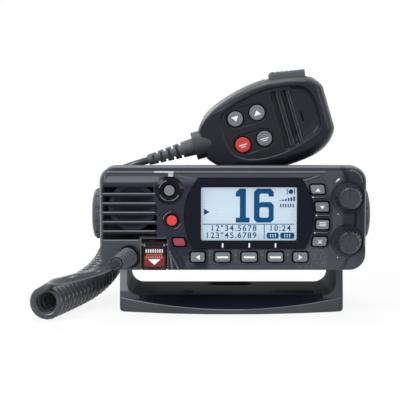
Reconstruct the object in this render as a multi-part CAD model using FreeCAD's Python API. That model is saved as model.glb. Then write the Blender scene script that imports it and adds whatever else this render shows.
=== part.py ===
"""Fixed-mount marine VHF radio on a gimbal bracket, with a fist microphone on a curly cord.

Millimetres. X runs to the user's right, Y away from the user, Z up. The origin is on the
surface that the bracket stands on, below the tilt axis and midway between the arms.
"""
import FreeCAD, Part
import math
import os

V = FreeCAD.Vector
X_AXIS = V(1, 0, 0)
Y_AXIS = V(0, 1, 0)
Z_AXIS = V(0, 0, 1)

# ---------------------------------------------------------------- driving dimensions
# Front panel
PANEL_W = 150.0
PANEL_H = 59.0
PANEL_CORNER_R = 9.0
PANEL_EDGE_R = 2.2
PANEL_WALL = 2.6
FLANGE_DEPTH = 10.0
TAPER_DEPTH = 9.0
SKIRT_DEPTH = 8.0
SKIRT_WALL = 2.0
FACE_Y = -45.0

# Case behind the panel
CASE_INSET_SIDE = 15.0
CASE_INSET_TOP = 5.0
CASE_INSET_BOTTOM = 4.0
CASE_DEPTH = 58.0
CASE_WALL = 3.0
CASE_BACK_WALL = 5.0
CASE_CORNER_R = 4.0
FIN_DEPTH = 7.0
FIN_WIDTH = 2.0
FIN_PITCH = 5.0
SEAL_THICKNESS = 1.0

# Tilt axis and bracket
PIVOT_Z = 56.2
PIVOT_BELOW_CENTRE = 1.5
SIDE_GAP = 1.5
ARM_THICKNESS = 4.2
ARM_TOP_R = 13.0
BASE_THICKNESS = 9.3
BASE_FRONT_Y = -15.0
BASE_BACK_Y = 32.6
NOSE_END_Y = -20.0
NOSE_BOW = 9.3
NOSE_LIP_MIDDLE = 2.7
NOSE_LIP_END = 8.3
BRACKET_INNER_R = 7.5
BRACKET_OUTER_R = 2.0
SLOT_LENGTH = 24.0
SLOT_WIDTH = 5.5
SLOT_RECESS_LENGTH = 28.0
SLOT_RECESS_WIDTH = 12.0
SLOT_FLOOR = 4.0
FRONT_SLOT_SPACING = 73.0
FRONT_SLOT_Y = -6.5
REAR_SLOT_Y = 23.5

# Gimbal knobs
STUD_R = 2.5
STUD_CLEARANCE = 0.06
KNOB_R = 15.4
KNOB_HUB_R = 8.5
KNOB_LENGTH = 17.0
KNOB_RIM = 11.2
KNOB_SCALLOPS = 12

# Display: the surround's borders are measured out from the visible screen
LCD_W = 53.8
LCD_H = 30.0
LCD_U = 9.0
LCD_V = 2.5
SURROUND_ABOVE = 5.4
SURROUND_BELOW = 4.7
SURROUND_LEFT_TOP = 1.5
SURROUND_LEFT_BULGE = 9.5
SURROUND_LEFT_FOOT = 4.2
SURROUND_RIGHT_TOP = 2.0
SURROUND_RIGHT_BULGE = 9.5
SURROUND_RIGHT_FOOT = 4.5
LCD_BORDER = 2.0
LCD_DEPTH = 4.0
SURROUND_SEAT = 1.6
SURROUND_PROUD = 0.3
WINDOW_THICKNESS = 0.8
FIT_GAP = 0.1

# Keys
KEY_GAP = 0.9
KEY_PROUD = 1.3
KEY_TRAVEL = 1.0
KEY_EDGE_R = 0.5
BAND_DEPTH = 0.9
BAND_LEDGE_DEPTH = 0.4
BAND_LEDGE_WIDTH = 2.0
BOTTOM_KEY_H = 5.1
BOTTOM_KEY_ABOVE_EDGE = 7.65
MAT_BEHIND_WALL = 2.4
MAT_THICKNESS = 1.0
BOARD_BEHIND_FACE = 8.2
BOARD_THICKNESS = 1.6

# Knobs on the panel
DIAL_R = 7.8
DIAL_TOP_R = 6.0
DIAL_CAP_R = 5.0
DIAL_FLUTES = 18
DIAL_HEIGHT = 11.0
DIAL_RECESS_R = 9.2
DIAL_RECESS_DEPTH = 0.8
DIAL_FROM_RIGHT = 10.7
VOLUME_V = 12.0
SQUELCH_V = -12.5
SHAFT_R = 3.0
SHAFT_CLEARANCE = 0.05
CONTROL_SIZE = 12.0
CONTROL_DEPTH = 7.0

# Speaker and its grille
SPEAKER_R = 13.5
SPEAKER_DEPTH = 10.0
SPEAKER_FROM_LEFT = 18.5
SPEAKER_V = 6.4
GRILLE_SLOT_H = 3.2
GRILLE_PITCH = 5.3
GRILLE_TOP_V = 16.1
GRILLE_SLOTS = 6
GRILLE_LIP = 0.6
GRILLE_SLOPE = 0.9
GRILLE_SLOPE_RISE = 1.2

# Faces above the grille
BROW_TOP_V = 24.6
BROW_LOW_V = 20.2
BROW_DEPTH = 1.2
RIDGE_LOW_V = 25.4
RIDGE_TOP_V = 26.6
RIDGE_PROUD = 0.6

# Distress key, cover and pocket
POCKET_FROM_LEFT = 30.8
POCKET_W = 14.4
POCKET_TOP_ABOVE_EDGE = 17.9
POCKET_DEPTH = 5.5
POCKET_WALL = 1.5
COVER_W = 13.4
COVER_PLATE = 1.5
COVER_PROUD = 1.0
COVER_ABOVE_HINGE = 1.8
HINGE_ABOVE_EDGE = 14.5
HINGE_BEHIND_FACE = 1.3
HINGE_BARREL_R = 1.2
HINGE_PIN_R = 0.6
DISTRESS_KEY_R = 4.2

# Cord, its gland and strain relief at the panel
GLAND_FROM_LEFT = 16.9
GLAND_ABOVE_EDGE = 8.0
GLAND_RECESS_R = 6.5
GLAND_R = 4.6
RELIEF_LENGTH = 18.0
RELIEF_BASE_R = 5.6
RELIEF_END_R = 4.0
RELIEF_RINGS = 7
RELIEF_GROOVE = 0.7
RELIEF_DIRECTION = V(-6.0, -16.0, -1.7)
CORD_D = 4.3
COIL_D = 19.4

# Microphone, in its own plane: s along it from the cord end, t across it
MIC_TILT = 16.5
MIC_LENGTH = 83.0
MIC_ORIGIN_X = -22.0
MIC_MIDDLE_Y = -4.0
MIC_REST_GAP = 0.3
MIC_FRONT = 11.0
MIC_BACK = 13.0
MIC_WALL = 2.2
MIC_SEAM = 0.6
MIC_NECK = 5.0
MIC_HALF_WIDTHS = [(5.0, 9.0), (12.0, 16.4), (25.0, 22.1), (45.0, 26.0), (61.0, 25.7),
                   (74.0, 22.4), (81.0, 16.5), (83.0, 13.0)]
MIC_KEY_R = 4.45
MIC_KEY_T = (8.9, -6.9)
MIC_KEY_S = (27.9, 41.1)
MIC_KEY_PROUD = 0.9
MIC_COLLAR_R = 8.3
MIC_COLLAR_LENGTH = 14.0
MIC_RELIEF_LENGTH = 28.5
MIC_RELIEF_BASE_R = 5.2
MIC_RELIEF_END_R = 3.2
MIC_SIDE_SLOTS = (3.6, 8.5, 13.4, 18.3)
MIC_EDGE_SLOTS = (6.2, 10.9, 15.7, 20.5)
MIC_SOUND_SLOTS = (51.6, 57.6)
MIC_SOUND_SLOT_W = 2.7
MIC_SCOOP_S = (62.9, 74.5)
MIC_SLIT_S = 66.0
HANGER_S = 40.0
HANGER_R = 3.5
PTT_S = 64.5
PTT_LENGTH = 21.0
PTT_PROUD = 2.5
PTT_CORNER_R = 1.9
PTT_LEAN = -11.0
PTT_THICKNESS = 12.0

# ---------------------------------------------------------------- places worked out from them
LEFT = -PANEL_W / 2
RIGHT = PANEL_W / 2
TOP = PANEL_H / 2
BOTTOM = -PANEL_H / 2
PANEL_Z = PIVOT_Z + PIVOT_BELOW_CENTRE
FLANGE_BACK_Y = FACE_Y + FLANGE_DEPTH
PANEL_BACK_Y = FLANGE_BACK_Y + TAPER_DEPTH
CASE_FRONT_Y = PANEL_BACK_Y + SEAL_THICKNESS
CASE_BACK_Y = CASE_FRONT_Y + CASE_DEPTH
CASE_W = PANEL_W - 2 * CASE_INSET_SIDE
CASE_H = PANEL_H - CASE_INSET_TOP - CASE_INSET_BOTTOM
CASE_TOP_Z = PANEL_Z + TOP - CASE_INSET_TOP
CASE_BOTTOM_Z = CASE_TOP_Z - CASE_H
CASE_V = (CASE_TOP_Z + CASE_BOTTOM_Z) / 2 - PANEL_Z
DISPLAY_TOP = LCD_V + LCD_H / 2 + SURROUND_ABOVE
DISPLAY_BOTTOM = LCD_V - LCD_H / 2 - SURROUND_BELOW
LCD_LEFT = LCD_U - LCD_W / 2
LCD_RIGHT = LCD_U + LCD_W / 2
DISPLAY_LEFT_BULGE = LCD_LEFT - SURROUND_LEFT_BULGE
DISPLAY_RIGHT_BULGE = LCD_RIGHT + SURROUND_RIGHT_BULGE
ARM_INNER_X = CASE_W / 2 + SIDE_GAP
ARM_OUTER_X = ARM_INNER_X + ARM_THICKNESS
DIAL_U = RIGHT - DIAL_FROM_RIGHT
POCKET_U = LEFT + POCKET_FROM_LEFT
GLAND_U = LEFT + GLAND_FROM_LEFT
GLAND_V = BOTTOM + GLAND_ABOVE_EDGE
SPEAKER_U = LEFT + SPEAKER_FROM_LEFT
BOTTOM_KEY_V = BOTTOM + BOTTOM_KEY_ABOVE_EDGE
HINGE_V = BOTTOM + HINGE_ABOVE_EDGE
ROUND_KEY_U = LEFT + 39.3
ROUND_KEY_V = 15.8
COLLAR_R = 7.85
COLLAR_HOLE_R = 3.7

parts = {}


# ---------------------------------------------------------------- helpers
def box(x0, x1, y0, y1, z0, z1):
    return Part.makeBox(x1 - x0, y1 - y0, z1 - z0, V(x0, y0, z0))


def rod(start, axis, radius, length):
    return Part.makeCylinder(radius, length, start, axis)


def on_face(u, v, y=0.0):
    """A point of the panel: u right and v up from its centre, y behind its front face."""
    return V(u, FACE_Y + y, PANEL_Z + v)


def face_box(u0, u1, v0, v1, y0, y1):
    return box(u0, u1, FACE_Y + y0, FACE_Y + y1, PANEL_Z + v0, PANEL_Z + v1)


def face_rod(u, v, radius, y0, y1):
    return rod(on_face(u, v, y0), Y_AXIS, radius, y1 - y0)


def rounded_wire(u, v, width, height, radius, y):
    """Rounded rectangle in the panel's plane, y behind the front face."""
    half_w = width / 2 - radius
    half_h = height / 2 - radius
    corners = [(half_w, half_h, 0), (-half_w, half_h, 90), (-half_w, -half_h, 180),
               (half_w, -half_h, 270)]
    arcs = []
    for cu, cv, start in corners:
        pts = []
        for turn in (0, 45, 90):
            angle = math.radians(start + turn)
            pts.append(on_face(u + cu + radius * math.cos(angle),
                               v + cv + radius * math.sin(angle), y))
        arcs.append(Part.Arc(*pts).toShape())
    edges = []
    for index, arc in enumerate(arcs):
        follow = arcs[(index + 1) % 4]
        edges.append(arc)
        edges.append(Part.makeLine(arc.Vertexes[-1].Point, follow.Vertexes[0].Point))
    return Part.Wire(edges)


def rounded_prism(u, v, width, height, radius, y0, y1):
    wire = rounded_wire(u, v, width, height, radius, y0)
    return Part.Face(wire).extrude(V(0, y1 - y0, 0))


def polygon_prism(corners, y0, y1):
    """Straight-sided prism through (u, v) corners, from y0 to y1 behind the front face."""
    points = [on_face(u, v, y0) for u, v in corners]
    return Part.Face(Part.makePolygon(points + points[:1])).extrude(V(0, y1 - y0, 0))


def edges_along(shape, axis):
    chosen = []
    for edge in shape.Edges:
        if len(edge.Vertexes) == 2:
            run = edge.Vertexes[1].Point - edge.Vertexes[0].Point
            if run.Length > 0.01 and abs(run.normalize().dot(axis)) > 0.999:
                chosen.append(edge)
    return chosen


def edges_at_y(shape, y):
    flat = [e for e in shape.Edges if e.BoundBox.YLength < 1e-4]
    return [e for e in flat if abs(e.BoundBox.YMin - y) < 1e-4]


def union(shapes):
    return shapes[0].multiFuse(shapes[1:]).removeSplitter() if len(shapes) > 1 else shapes[0]


def revolve(profile, start, axis):
    """Turn a closed (distance along, radius) profile about an axis that begins at start."""
    wire = Part.makePolygon([V(r, 0, d) for d, r in profile + profile[:1]])
    solid = Part.Face(wire).revolve(V(0, 0, 0), Z_AXIS, 360)
    solid.Placement = FreeCAD.Placement(start, FreeCAD.Rotation(Z_AXIS, axis))
    return solid


def arc_outline(top_left, left, bottom_left, bottom_right, right, top_right, y):
    """Shape with straight top and bottom and one arc at each side."""
    p = [on_face(u, v, y) for u, v in (top_left, left, bottom_left, bottom_right, right, top_right)]
    edges = [Part.Arc(p[0], p[1], p[2]).toShape(), Part.makeLine(p[2], p[3]),
             Part.Arc(p[3], p[4], p[5]).toShape(), Part.makeLine(p[5], p[0])]
    return Part.Wire(edges)


def display_outline(grow, y):
    middle = (DISPLAY_TOP + DISPLAY_BOTTOM) / 2
    top, bottom = DISPLAY_TOP + grow, DISPLAY_BOTTOM - grow
    return arc_outline((LCD_LEFT - SURROUND_LEFT_TOP - grow, top), (DISPLAY_LEFT_BULGE - grow, middle),
                       (LCD_LEFT - SURROUND_LEFT_FOOT - grow, bottom),
                       (LCD_RIGHT + SURROUND_RIGHT_FOOT + grow, bottom),
                       (DISPLAY_RIGHT_BULGE + grow, middle),
                       (LCD_RIGHT + SURROUND_RIGHT_TOP + grow, top), y)


# ---------------------------------------------------------------- keys of the panel
def slab_key(u, v, width, height, lean, corner, grow, y0, y1):
    """Four-sided key with round corners; lean moves its lower edge to the right."""
    half_w = width / 2 + grow
    half_h = height / 2 + grow
    corners = [(u - half_w - lean / 2, v + half_h), (u + half_w - lean / 2, v + half_h),
               (u + half_w + lean / 2, v - half_h), (u - half_w + lean / 2, v - half_h)]
    solid = polygon_prism(corners, y0, y1)
    return solid.makeFillet(corner + grow * 0.6, edges_along(solid, Y_AXIS))


SLAB_KEYS = {
    "up_key": (DISPLAY_RIGHT_BULGE + 2.1, 16.4, 7.5, 4.8, 1.0, 1.0),
    "down_key": (DISPLAY_RIGHT_BULGE + 4.7, 6.5, 7.3, 5.1, 0.3, 1.0),
    "menu_key": (DISPLAY_RIGHT_BULGE + 5.0, -3.5, 7.0, 5.0, -0.3, 1.0),
    "clear_key": (DISPLAY_RIGHT_BULGE + 3.5, -13.1, 7.6, 4.9, -0.9, 1.0),
    "pink_key": (LEFT + 44.8, BOTTOM + 16.2, 6.4, 4.1, 1.3, 0.9),
    "left_key": (-19.8, BOTTOM_KEY_V, 7.7, BOTTOM_KEY_H, 0.0, 1.2),
    "first_soft_key": (-5.75, BOTTOM_KEY_V, 8.5, BOTTOM_KEY_H, 0.0, 1.2),
    "second_soft_key": (9.25, BOTTOM_KEY_V, 8.5, BOTTOM_KEY_H, 0.0, 1.2),
    "third_soft_key": (24.0, BOTTOM_KEY_V, 8.5, BOTTOM_KEY_H, 0.0, 1.2),
    "right_key": (38.1, BOTTOM_KEY_V, 7.8, BOTTOM_KEY_H, 0.0, 1.2),
}
ROUND_KEYS = {
    "scan_key": (ROUND_KEY_U, ROUND_KEY_V, 2.95),
    "red_key": (LEFT + 40.7, -1.1, 2.9),
}
KEY_BACK = PANEL_WALL + MAT_BEHIND_WALL - KEY_TRAVEL - 0.3


def make_keys():
    for name, (u, v, width, height, lean, corner) in SLAB_KEYS.items():
        key = slab_key(u, v, width, height, lean, corner, 0.0, -KEY_PROUD, KEY_BACK)
        parts[name] = key.makeFillet(KEY_EDGE_R, edges_at_y(key, FACE_Y - KEY_PROUD))
    for name, (u, v, radius) in ROUND_KEYS.items():
        key = face_rod(u, v, radius, -KEY_PROUD, KEY_BACK)
        parts[name] = key.makeFillet(KEY_EDGE_R, edges_at_y(key, FACE_Y - KEY_PROUD))


def key_openings():
    cuts = []
    for u, v, width, height, lean, corner in SLAB_KEYS.values():
        cuts.append(slab_key(u, v, width, height, lean, corner, KEY_GAP, -1.0, PANEL_WALL + 1.0))
    for u, v, radius in ROUND_KEYS.values():
        cuts.append(face_rod(u, v, radius + KEY_GAP, -1.0, PANEL_WALL + 1.0))
    return cuts


# ---------------------------------------------------------------- front panel
def key_band(ledge, depth):
    """Recess for the keys, along the bottom and up the right of the display, inside a ledge."""
    top_v = 24.2 - 0.3 * ledge
    bottom_v = BOTTOM + 2.2 + 0.5 * ledge
    right = DISPLAY_RIGHT_BULGE - ledge
    p = [on_face(u, v, -1.0) for u, v in [(-34.8 + ledge, -17.0), (-29.8 + ledge, bottom_v),
                                          (right + 2.7, bottom_v), (right + 10.9, 0.5),
                                          (right + 4.7, top_v),
                                          (LCD_RIGHT + SURROUND_RIGHT_TOP, DISPLAY_TOP)]]
    edges = [Part.makeLine(p[0], p[1]), Part.makeLine(p[1], p[2]), Part.Arc(p[2], p[3], p[4]).toShape(),
             Part.makeLine(p[4], p[5]), Part.makeLine(p[5], p[0])]
    return Part.Face(Part.Wire(edges)).extrude(V(0, 1.0 + depth, 0))


def side_groove():
    """Narrow groove that runs round outside the two knobs, from top edge to bottom edge."""
    width, end_width = 1.5, 2.6
    high, low = DIAL_U - 5.3, DIAL_U - 4.7
    bulge = DIAL_U + 3.7
    outer = [on_face(high + end_width, TOP + 1, -1.0), on_face(bulge + width, 0.0, -1.0),
             on_face(low + end_width, BOTTOM - 1, -1.0)]
    inner = [on_face(low, BOTTOM - 1, -1.0), on_face(bulge, 0.0, -1.0), on_face(high, TOP + 1, -1.0)]
    edges = [Part.Arc(*outer).toShape(), Part.makeLine(outer[2], inner[0]),
             Part.Arc(*inner).toShape(), Part.makeLine(inner[2], outer[0])]
    return Part.Face(Part.Wire(edges)).extrude(V(0, 1.0 + 0.9, 0))


def panel_shell():
    """Flange that the user sees, tapering back to the size of the case, open at the rear."""
    flange = rounded_prism(0, 0, PANEL_W, PANEL_H, PANEL_CORNER_R, 0, FLANGE_DEPTH)
    flange = flange.makeFillet(PANEL_EDGE_R, edges_at_y(flange, FACE_Y))
    wide = rounded_wire(0, 0, PANEL_W, PANEL_H, PANEL_CORNER_R, FLANGE_DEPTH)
    depth = FLANGE_DEPTH + TAPER_DEPTH
    narrow = rounded_wire(0, CASE_V, CASE_W, CASE_H, CASE_CORNER_R, depth)
    taper = Part.makeLoft([wide, narrow], True, True)
    double_wall = 2 * PANEL_WALL
    inner_r = PANEL_CORNER_R - PANEL_WALL
    hollow_w = PANEL_W - double_wall
    hollow_h = PANEL_H - double_wall
    hollow = rounded_prism(0, 0, hollow_w, hollow_h, inner_r, PANEL_WALL, FLANGE_DEPTH)
    inner_w, inner_h = skirt_size(SKIRT_WALL)
    inner_wide = rounded_wire(0, 0, hollow_w, hollow_h, inner_r, FLANGE_DEPTH)
    inner_narrow = rounded_wire(0, CASE_V, inner_w, inner_h, 1.5, depth)
    inner_taper = Part.makeLoft([inner_wide, inner_narrow], True, True)
    skirt_w, skirt_h = skirt_size(0.0)
    skirt = rounded_prism(0, CASE_V, skirt_w, skirt_h, 2.0, depth - 1.0, depth + SKIRT_DEPTH)
    skirt_hollow = rounded_prism(0, CASE_V, inner_w, inner_h, 1.5, depth - 2.0, depth + SKIRT_DEPTH + 1)
    shell = flange.fuse(taper).cut(hollow).cut(inner_taper)
    return shell.fuse(skirt.cut(skirt_hollow)).cut(skirt_hollow)


def skirt_size(inset):
    """Outside of the skirt that slides into the case, less an inset on each side."""
    play = 0.15
    width = CASE_W - 2 * (CASE_WALL + play + inset)
    height = CASE_H - 2 * (CASE_WALL + play + inset)
    return width, height


def distress_pocket(grow, y1):
    """Pocket behind the distress cover, open at the panel's bottom edge."""
    half_w = POCKET_W / 2 + grow
    top_v = BOTTOM + POCKET_TOP_ABOVE_EDGE + grow
    return face_box(POCKET_U - half_w, POCKET_U + half_w, BOTTOM - 1.0 + 4 * grow / 3, top_v, -1.0, y1)


def side_prism(corners, u0, u1):
    """Prism along the panel's width, from u0 to u1, through (v, y) corners of its side view."""
    points = [on_face(u0, v, y) for v, y in corners]
    return Part.Face(Part.makePolygon(points + points[:1])).extrude(V(u1 - u0, 0, 0))


def brow_cut():
    """Sloped face between the ridge and the grille, deepest at its top."""
    slope = BROW_DEPTH / (BROW_TOP_V - BROW_LOW_V)
    corners = [(BROW_TOP_V, BROW_DEPTH), (BROW_TOP_V, -1.0), (BROW_LOW_V - 1.0 / slope, -1.0)]
    return side_prism(corners, LEFT + 3.5, LEFT + 34.0)


def ridge():
    """Raised line along the top of the panel, with a short leg down beside the scan key."""
    line = [(RIDGE_TOP_V, 0.3), (RIDGE_TOP_V - 0.6, -RIDGE_PROUD), (RIDGE_LOW_V, -RIDGE_PROUD),
            (RIDGE_LOW_V, 0.3)]
    leg = [(RIDGE_TOP_V, 0.3), (RIDGE_TOP_V - 3.0, -1.2), (RIDGE_TOP_V - 3.0, 0.3)]
    leg_u = ROUND_KEY_U - 0.9
    return side_prism(line, LEFT + 5.0, 51.0).fuse(side_prism(leg, leg_u, leg_u + 3.1))


def grille_slot(v, u0, u1):
    """Slot between two louvres: the lower one has a lip, the upper one slopes back towards it."""
    half = GRILLE_SLOT_H / 2
    back = PANEL_WALL + 0.5
    slot = face_box(u0, u1, v - half, v + half, -1.0, back)
    slot = slot.makeFillet(0.9, edges_along(slot, Y_AXIS))
    low = v - half - GRILLE_LIP
    lip = side_prism([(low - 1.0, -1.0), (v, -1.0), (v, GRILLE_LIP), (v - half, GRILLE_LIP)],
                     u0 + 0.5, u1 - 0.5)
    rise = GRILLE_SLOPE_RISE
    slope = side_prism([(v + half, GRILLE_SLOPE), (v, GRILLE_SLOPE), (v, -1.0),
                        (v + half + rise + rise / GRILLE_SLOPE, -1.0)], u0 + 0.5, u1 - 0.5)
    return slot.multiFuse([lip, slope])


def make_front_panel():
    shell = panel_shell()
    pocket_walls = distress_pocket(POCKET_WALL, POCKET_DEPTH + POCKET_WALL)
    inside = rounded_prism(0, 0, PANEL_W - 1, PANEL_H - 1, PANEL_CORNER_R - 0.5, 1.0, 9.0)
    gland_boss = face_rod(GLAND_U, GLAND_V, GLAND_RECESS_R + 1.5, 1.0, 6.0)
    body = shell.cut(brow_cut()).fuse(ridge())
    body = body.fuse(pocket_walls.common(inside)).fuse(gland_boss.common(inside))

    display = display_outline(FIT_GAP, -1.0)
    cuts = [Part.Face(display).extrude(V(0, 1.0 + SURROUND_SEAT, 0))]
    frame_w = LCD_W + 2 * LCD_BORDER + 2 * FIT_GAP
    frame_h = LCD_H + 2 * LCD_BORDER + 2 * FIT_GAP
    cuts.append(face_box(LCD_U - frame_w / 2, LCD_U + frame_w / 2, LCD_V - frame_h / 2,
                         LCD_V + frame_h / 2, -1.0, PANEL_WALL + 1.0))
    cuts.append(key_band(0.0, BAND_LEDGE_DEPTH))
    cuts.append(key_band(BAND_LEDGE_WIDTH, BAND_DEPTH))
    cuts.append(side_groove())
    cuts.extend(key_openings())
    for row in range(GRILLE_SLOTS):
        v = GRILLE_TOP_V - row * GRILLE_PITCH
        cuts.append(grille_slot(v, LEFT + 1.6, LEFT + 30.5 if row < 2 else LEFT + 32.3))
    for v in (VOLUME_V, SQUELCH_V):
        cuts.append(face_rod(DIAL_U, v, SHAFT_R + 0.6, -1.0, PANEL_WALL + 1.0))
        cuts.append(face_rod(DIAL_U, v, DIAL_RECESS_R, -1.0, DIAL_RECESS_DEPTH))
    cuts.append(face_rod(ROUND_KEY_U, ROUND_KEY_V, COLLAR_R + FIT_GAP, -1.0, SURROUND_SEAT))
    red_u, red_v, red_r = ROUND_KEYS["red_key"]
    cuts.append(Part.makeCone(red_r + 3.1, red_r + 1.6, 0.9, on_face(red_u, red_v, 0.0), Y_AXIS))
    cuts.append(distress_pocket(0.0, POCKET_DEPTH))
    cuts.append(face_rod(POCKET_U, distress_key_v(), DISTRESS_KEY_R + 0.4,
                         0.0, POCKET_DEPTH + POCKET_WALL + 1))
    cuts.append(face_rod(GLAND_U, GLAND_V, GLAND_RECESS_R, -1.0, 3.0))
    cuts.append(face_rod(GLAND_U, GLAND_V, GLAND_R + FIT_GAP / 2, 0.0, 8.0))
    for side in (-1, 1):
        for v in screw_heights():
            start = V(side * (CASE_W / 2 - CASE_WALL + 1), screw_y(), PANEL_Z + v)
            cuts.append(rod(start, V(-side, 0, 0), 1.5, 5.0))
    parts["front_panel"] = body.cut(cuts[0].multiFuse(cuts[1:]))


def make_panel_seal():
    depth = FLANGE_DEPTH + TAPER_DEPTH
    ring = rounded_prism(0, CASE_V, CASE_W, CASE_H, CASE_CORNER_R, depth, depth + SEAL_THICKNESS)
    hole_w, hole_h = skirt_size(-0.05)
    parts["panel_seal"] = ring.cut(rounded_prism(0, CASE_V, hole_w, hole_h, 2.0, depth - 1, depth + 2))


def make_display():
    outline = display_outline(0.0, -SURROUND_PROUD)
    plate = Part.Face(outline).extrude(V(0, SURROUND_SEAT + SURROUND_PROUD, 0))
    plate = plate.makeChamfer(0.25, edges_at_y(plate, FACE_Y - SURROUND_PROUD))
    opening = rounded_prism(LCD_U, LCD_V, LCD_W, LCD_H, 1.0, -1.0, SURROUND_SEAT + 1)
    parts["display_surround"] = plate.cut(opening)
    parts["display_window"] = rounded_prism(LCD_U, LCD_V, LCD_W - FIT_GAP, LCD_H - FIT_GAP, 0.95,
                                            SURROUND_SEAT - WINDOW_THICKNESS, SURROUND_SEAT)
    module_w = LCD_W + 2 * LCD_BORDER
    module_h = LCD_H + 2 * LCD_BORDER
    parts["lcd_module"] = rounded_prism(LCD_U, LCD_V, module_w, module_h, 0.8,
                                        SURROUND_SEAT, SURROUND_SEAT + LCD_DEPTH)


def make_scan_key_collar():
    profile = [(-SURROUND_SEAT, COLLAR_HOLE_R), (0.0, COLLAR_HOLE_R), (0.0, 5.2), (1.0, 5.6), (1.0, 6.2),
               (0.5, 7.0), (0.0, COLLAR_R), (-SURROUND_SEAT, COLLAR_R)]
    parts["scan_key_collar"] = revolve(profile, on_face(ROUND_KEY_U, ROUND_KEY_V), V(0, -1, 0))


# ---------------------------------------------------------------- inside the panel
def make_speaker():
    start = on_face(SPEAKER_U, SPEAKER_V, PANEL_WALL)
    magnet_r = 8.0
    profile = [(0.0, SPEAKER_R - 2.5), (0.0, SPEAKER_R), (1.6, SPEAKER_R), (4.5, magnet_r + 1.0),
               (4.5, magnet_r), (SPEAKER_DEPTH, magnet_r), (SPEAKER_DEPTH, 0.0), (3.0, 0.0), (3.4, 3.0),
               (0.8, SPEAKER_R - 3.0)]
    parts["speaker"] = revolve(profile, start, Y_AXIS)


def make_boards():
    y0 = PANEL_WALL + MAT_BEHIND_WALL
    y1 = y0 + MAT_THICKNESS
    low_v = BOTTOM + PANEL_WALL + 0.1
    column_right = LCD_LEFT - LCD_BORDER - 4.6
    left_column = face_box(LEFT + 34.5, column_right, BOTTOM + 21.4, 24.0, y0, y1)
    pink_pad = face_box(LEFT + 41.0, column_right, low_v, BOTTOM + 21.4, y0, y1)
    lcd_low = LCD_V - LCD_H / 2 - LCD_BORDER - 0.6
    lcd_right = LCD_RIGHT + LCD_BORDER + 0.6
    bottom_row = face_box(LEFT + 41.0, lcd_right + 6.0, low_v, lcd_low, y0, y1)
    right_column = face_box(lcd_right, DISPLAY_RIGHT_BULGE + 11.0, lcd_low - 4.0, 21.0, y0, y1)
    parts["keypad_mat"] = union([left_column, pink_pad, bottom_row, right_column])

    back = BOARD_BEHIND_FACE + BOARD_THICKNESS
    board = face_box(LEFT + 35.0, 57.0, BOTTOM + 4.0, TOP - 4.0, BOARD_BEHIND_FACE, back)
    tab = face_box(POCKET_U - 8.0, LEFT + 36.0, BOTTOM + 4.0, BOTTOM + 20.0, BOARD_BEHIND_FACE, back)
    chip = face_box(-6.0, 10.0, -6.0, 8.0, back, back + 2.0)
    link = face_box(-18.0, 22.0, BOTTOM + 6.0, BOTTOM + 10.0, back, back + 4.0)
    parts["control_board"] = union([board, tab, chip, link])

    floor_z = CASE_BOTTOM_Z + CASE_WALL + 6.0
    half_w = CASE_W / 2 - CASE_WALL - 8.0
    front_y = CASE_FRONT_Y + SKIRT_DEPTH + 2.0
    back_y = CASE_BACK_Y - CASE_BACK_WALL - 0.5
    main = box(-half_w, half_w, front_y, back_y, floor_z, floor_z + BOARD_THICKNESS)
    shield = box(-30.0, 26.0, front_y + 12.0, back_y - 4.0, floor_z, floor_z + 12.0)
    coil_can = box(32.0, 42.0, front_y + 8.0, front_y + 20.0, floor_z, floor_z + 11.0)
    posts = [box(x - 2.5, x + 2.5, y - 2.5, y + 2.5, CASE_BOTTOM_Z + CASE_WALL, floor_z + 0.5)
             for x in (-half_w + 3, half_w - 3) for y in (front_y + 3, back_y - 3)]
    parts["main_board"] = union([main, shield, coil_can] + posts)


def make_rotary_controls():
    bodies = []
    for v in (VOLUME_V, SQUELCH_V):
        half = CONTROL_SIZE / 2
        back = PANEL_WALL + CONTROL_DEPTH
        body = face_box(DIAL_U - half, DIAL_U + half, v - half, v + half, PANEL_WALL, back)
        bodies.append(body.cut(face_rod(DIAL_U, v, SHAFT_R + SHAFT_CLEARANCE, 0.0, back - 1)))
    parts["rotary_controls"] = Part.makeCompound(bodies)


# ---------------------------------------------------------------- knobs of the panel
def make_dial(knob_name, shaft_name, v):
    """Cone-sided knob with flutes, a rim round its flat cap, and a line that points."""
    base = 0.2
    skirt = 2.4
    rim_depth = 0.5
    profile = [(base, 0.0), (base, DIAL_R), (skirt, DIAL_R), (DIAL_HEIGHT - 0.9, DIAL_TOP_R),
               (DIAL_HEIGHT, DIAL_CAP_R + 0.4), (DIAL_HEIGHT, DIAL_CAP_R),
               (DIAL_HEIGHT - rim_depth, DIAL_CAP_R - 0.3), (DIAL_HEIGHT - rim_depth, 0.0)]
    knob = revolve(profile, on_face(DIAL_U, v), V(0, -1, 0))
    flutes = []
    for index in range(DIAL_FLUTES):
        angle = 2 * math.pi * index / DIAL_FLUTES
        reach = DIAL_R + 0.1
        start = on_face(DIAL_U + reach * math.cos(angle), v + reach * math.sin(angle), -skirt)
        inward = V(-math.cos(angle), 0, -math.sin(angle)) * (DIAL_R - DIAL_TOP_R)
        direction = V(0, skirt + 0.9 - DIAL_HEIGHT, 0) + inward
        flutes.append(rod(start, direction, 0.6, direction.Length))
    shaft_end = DIAL_HEIGHT - 3.0
    bore = face_rod(DIAL_U, v, SHAFT_R, -shaft_end, 1.0)
    pointer = face_box(DIAL_U - 0.25, DIAL_U + 0.25, v + 0.6, v + DIAL_CAP_R + 0.8,
                       -DIAL_HEIGHT - 1, -DIAL_HEIGHT + rim_depth + 0.3)
    parts[knob_name] = knob.cut(flutes[0].multiFuse(flutes[1:] + [bore, pointer]))
    parts[shaft_name] = face_rod(DIAL_U, v, SHAFT_R, -shaft_end, PANEL_WALL + CONTROL_DEPTH - 1.5)


# ---------------------------------------------------------------- distress cover
def distress_key_v():
    return BOTTOM + 8.6


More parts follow.
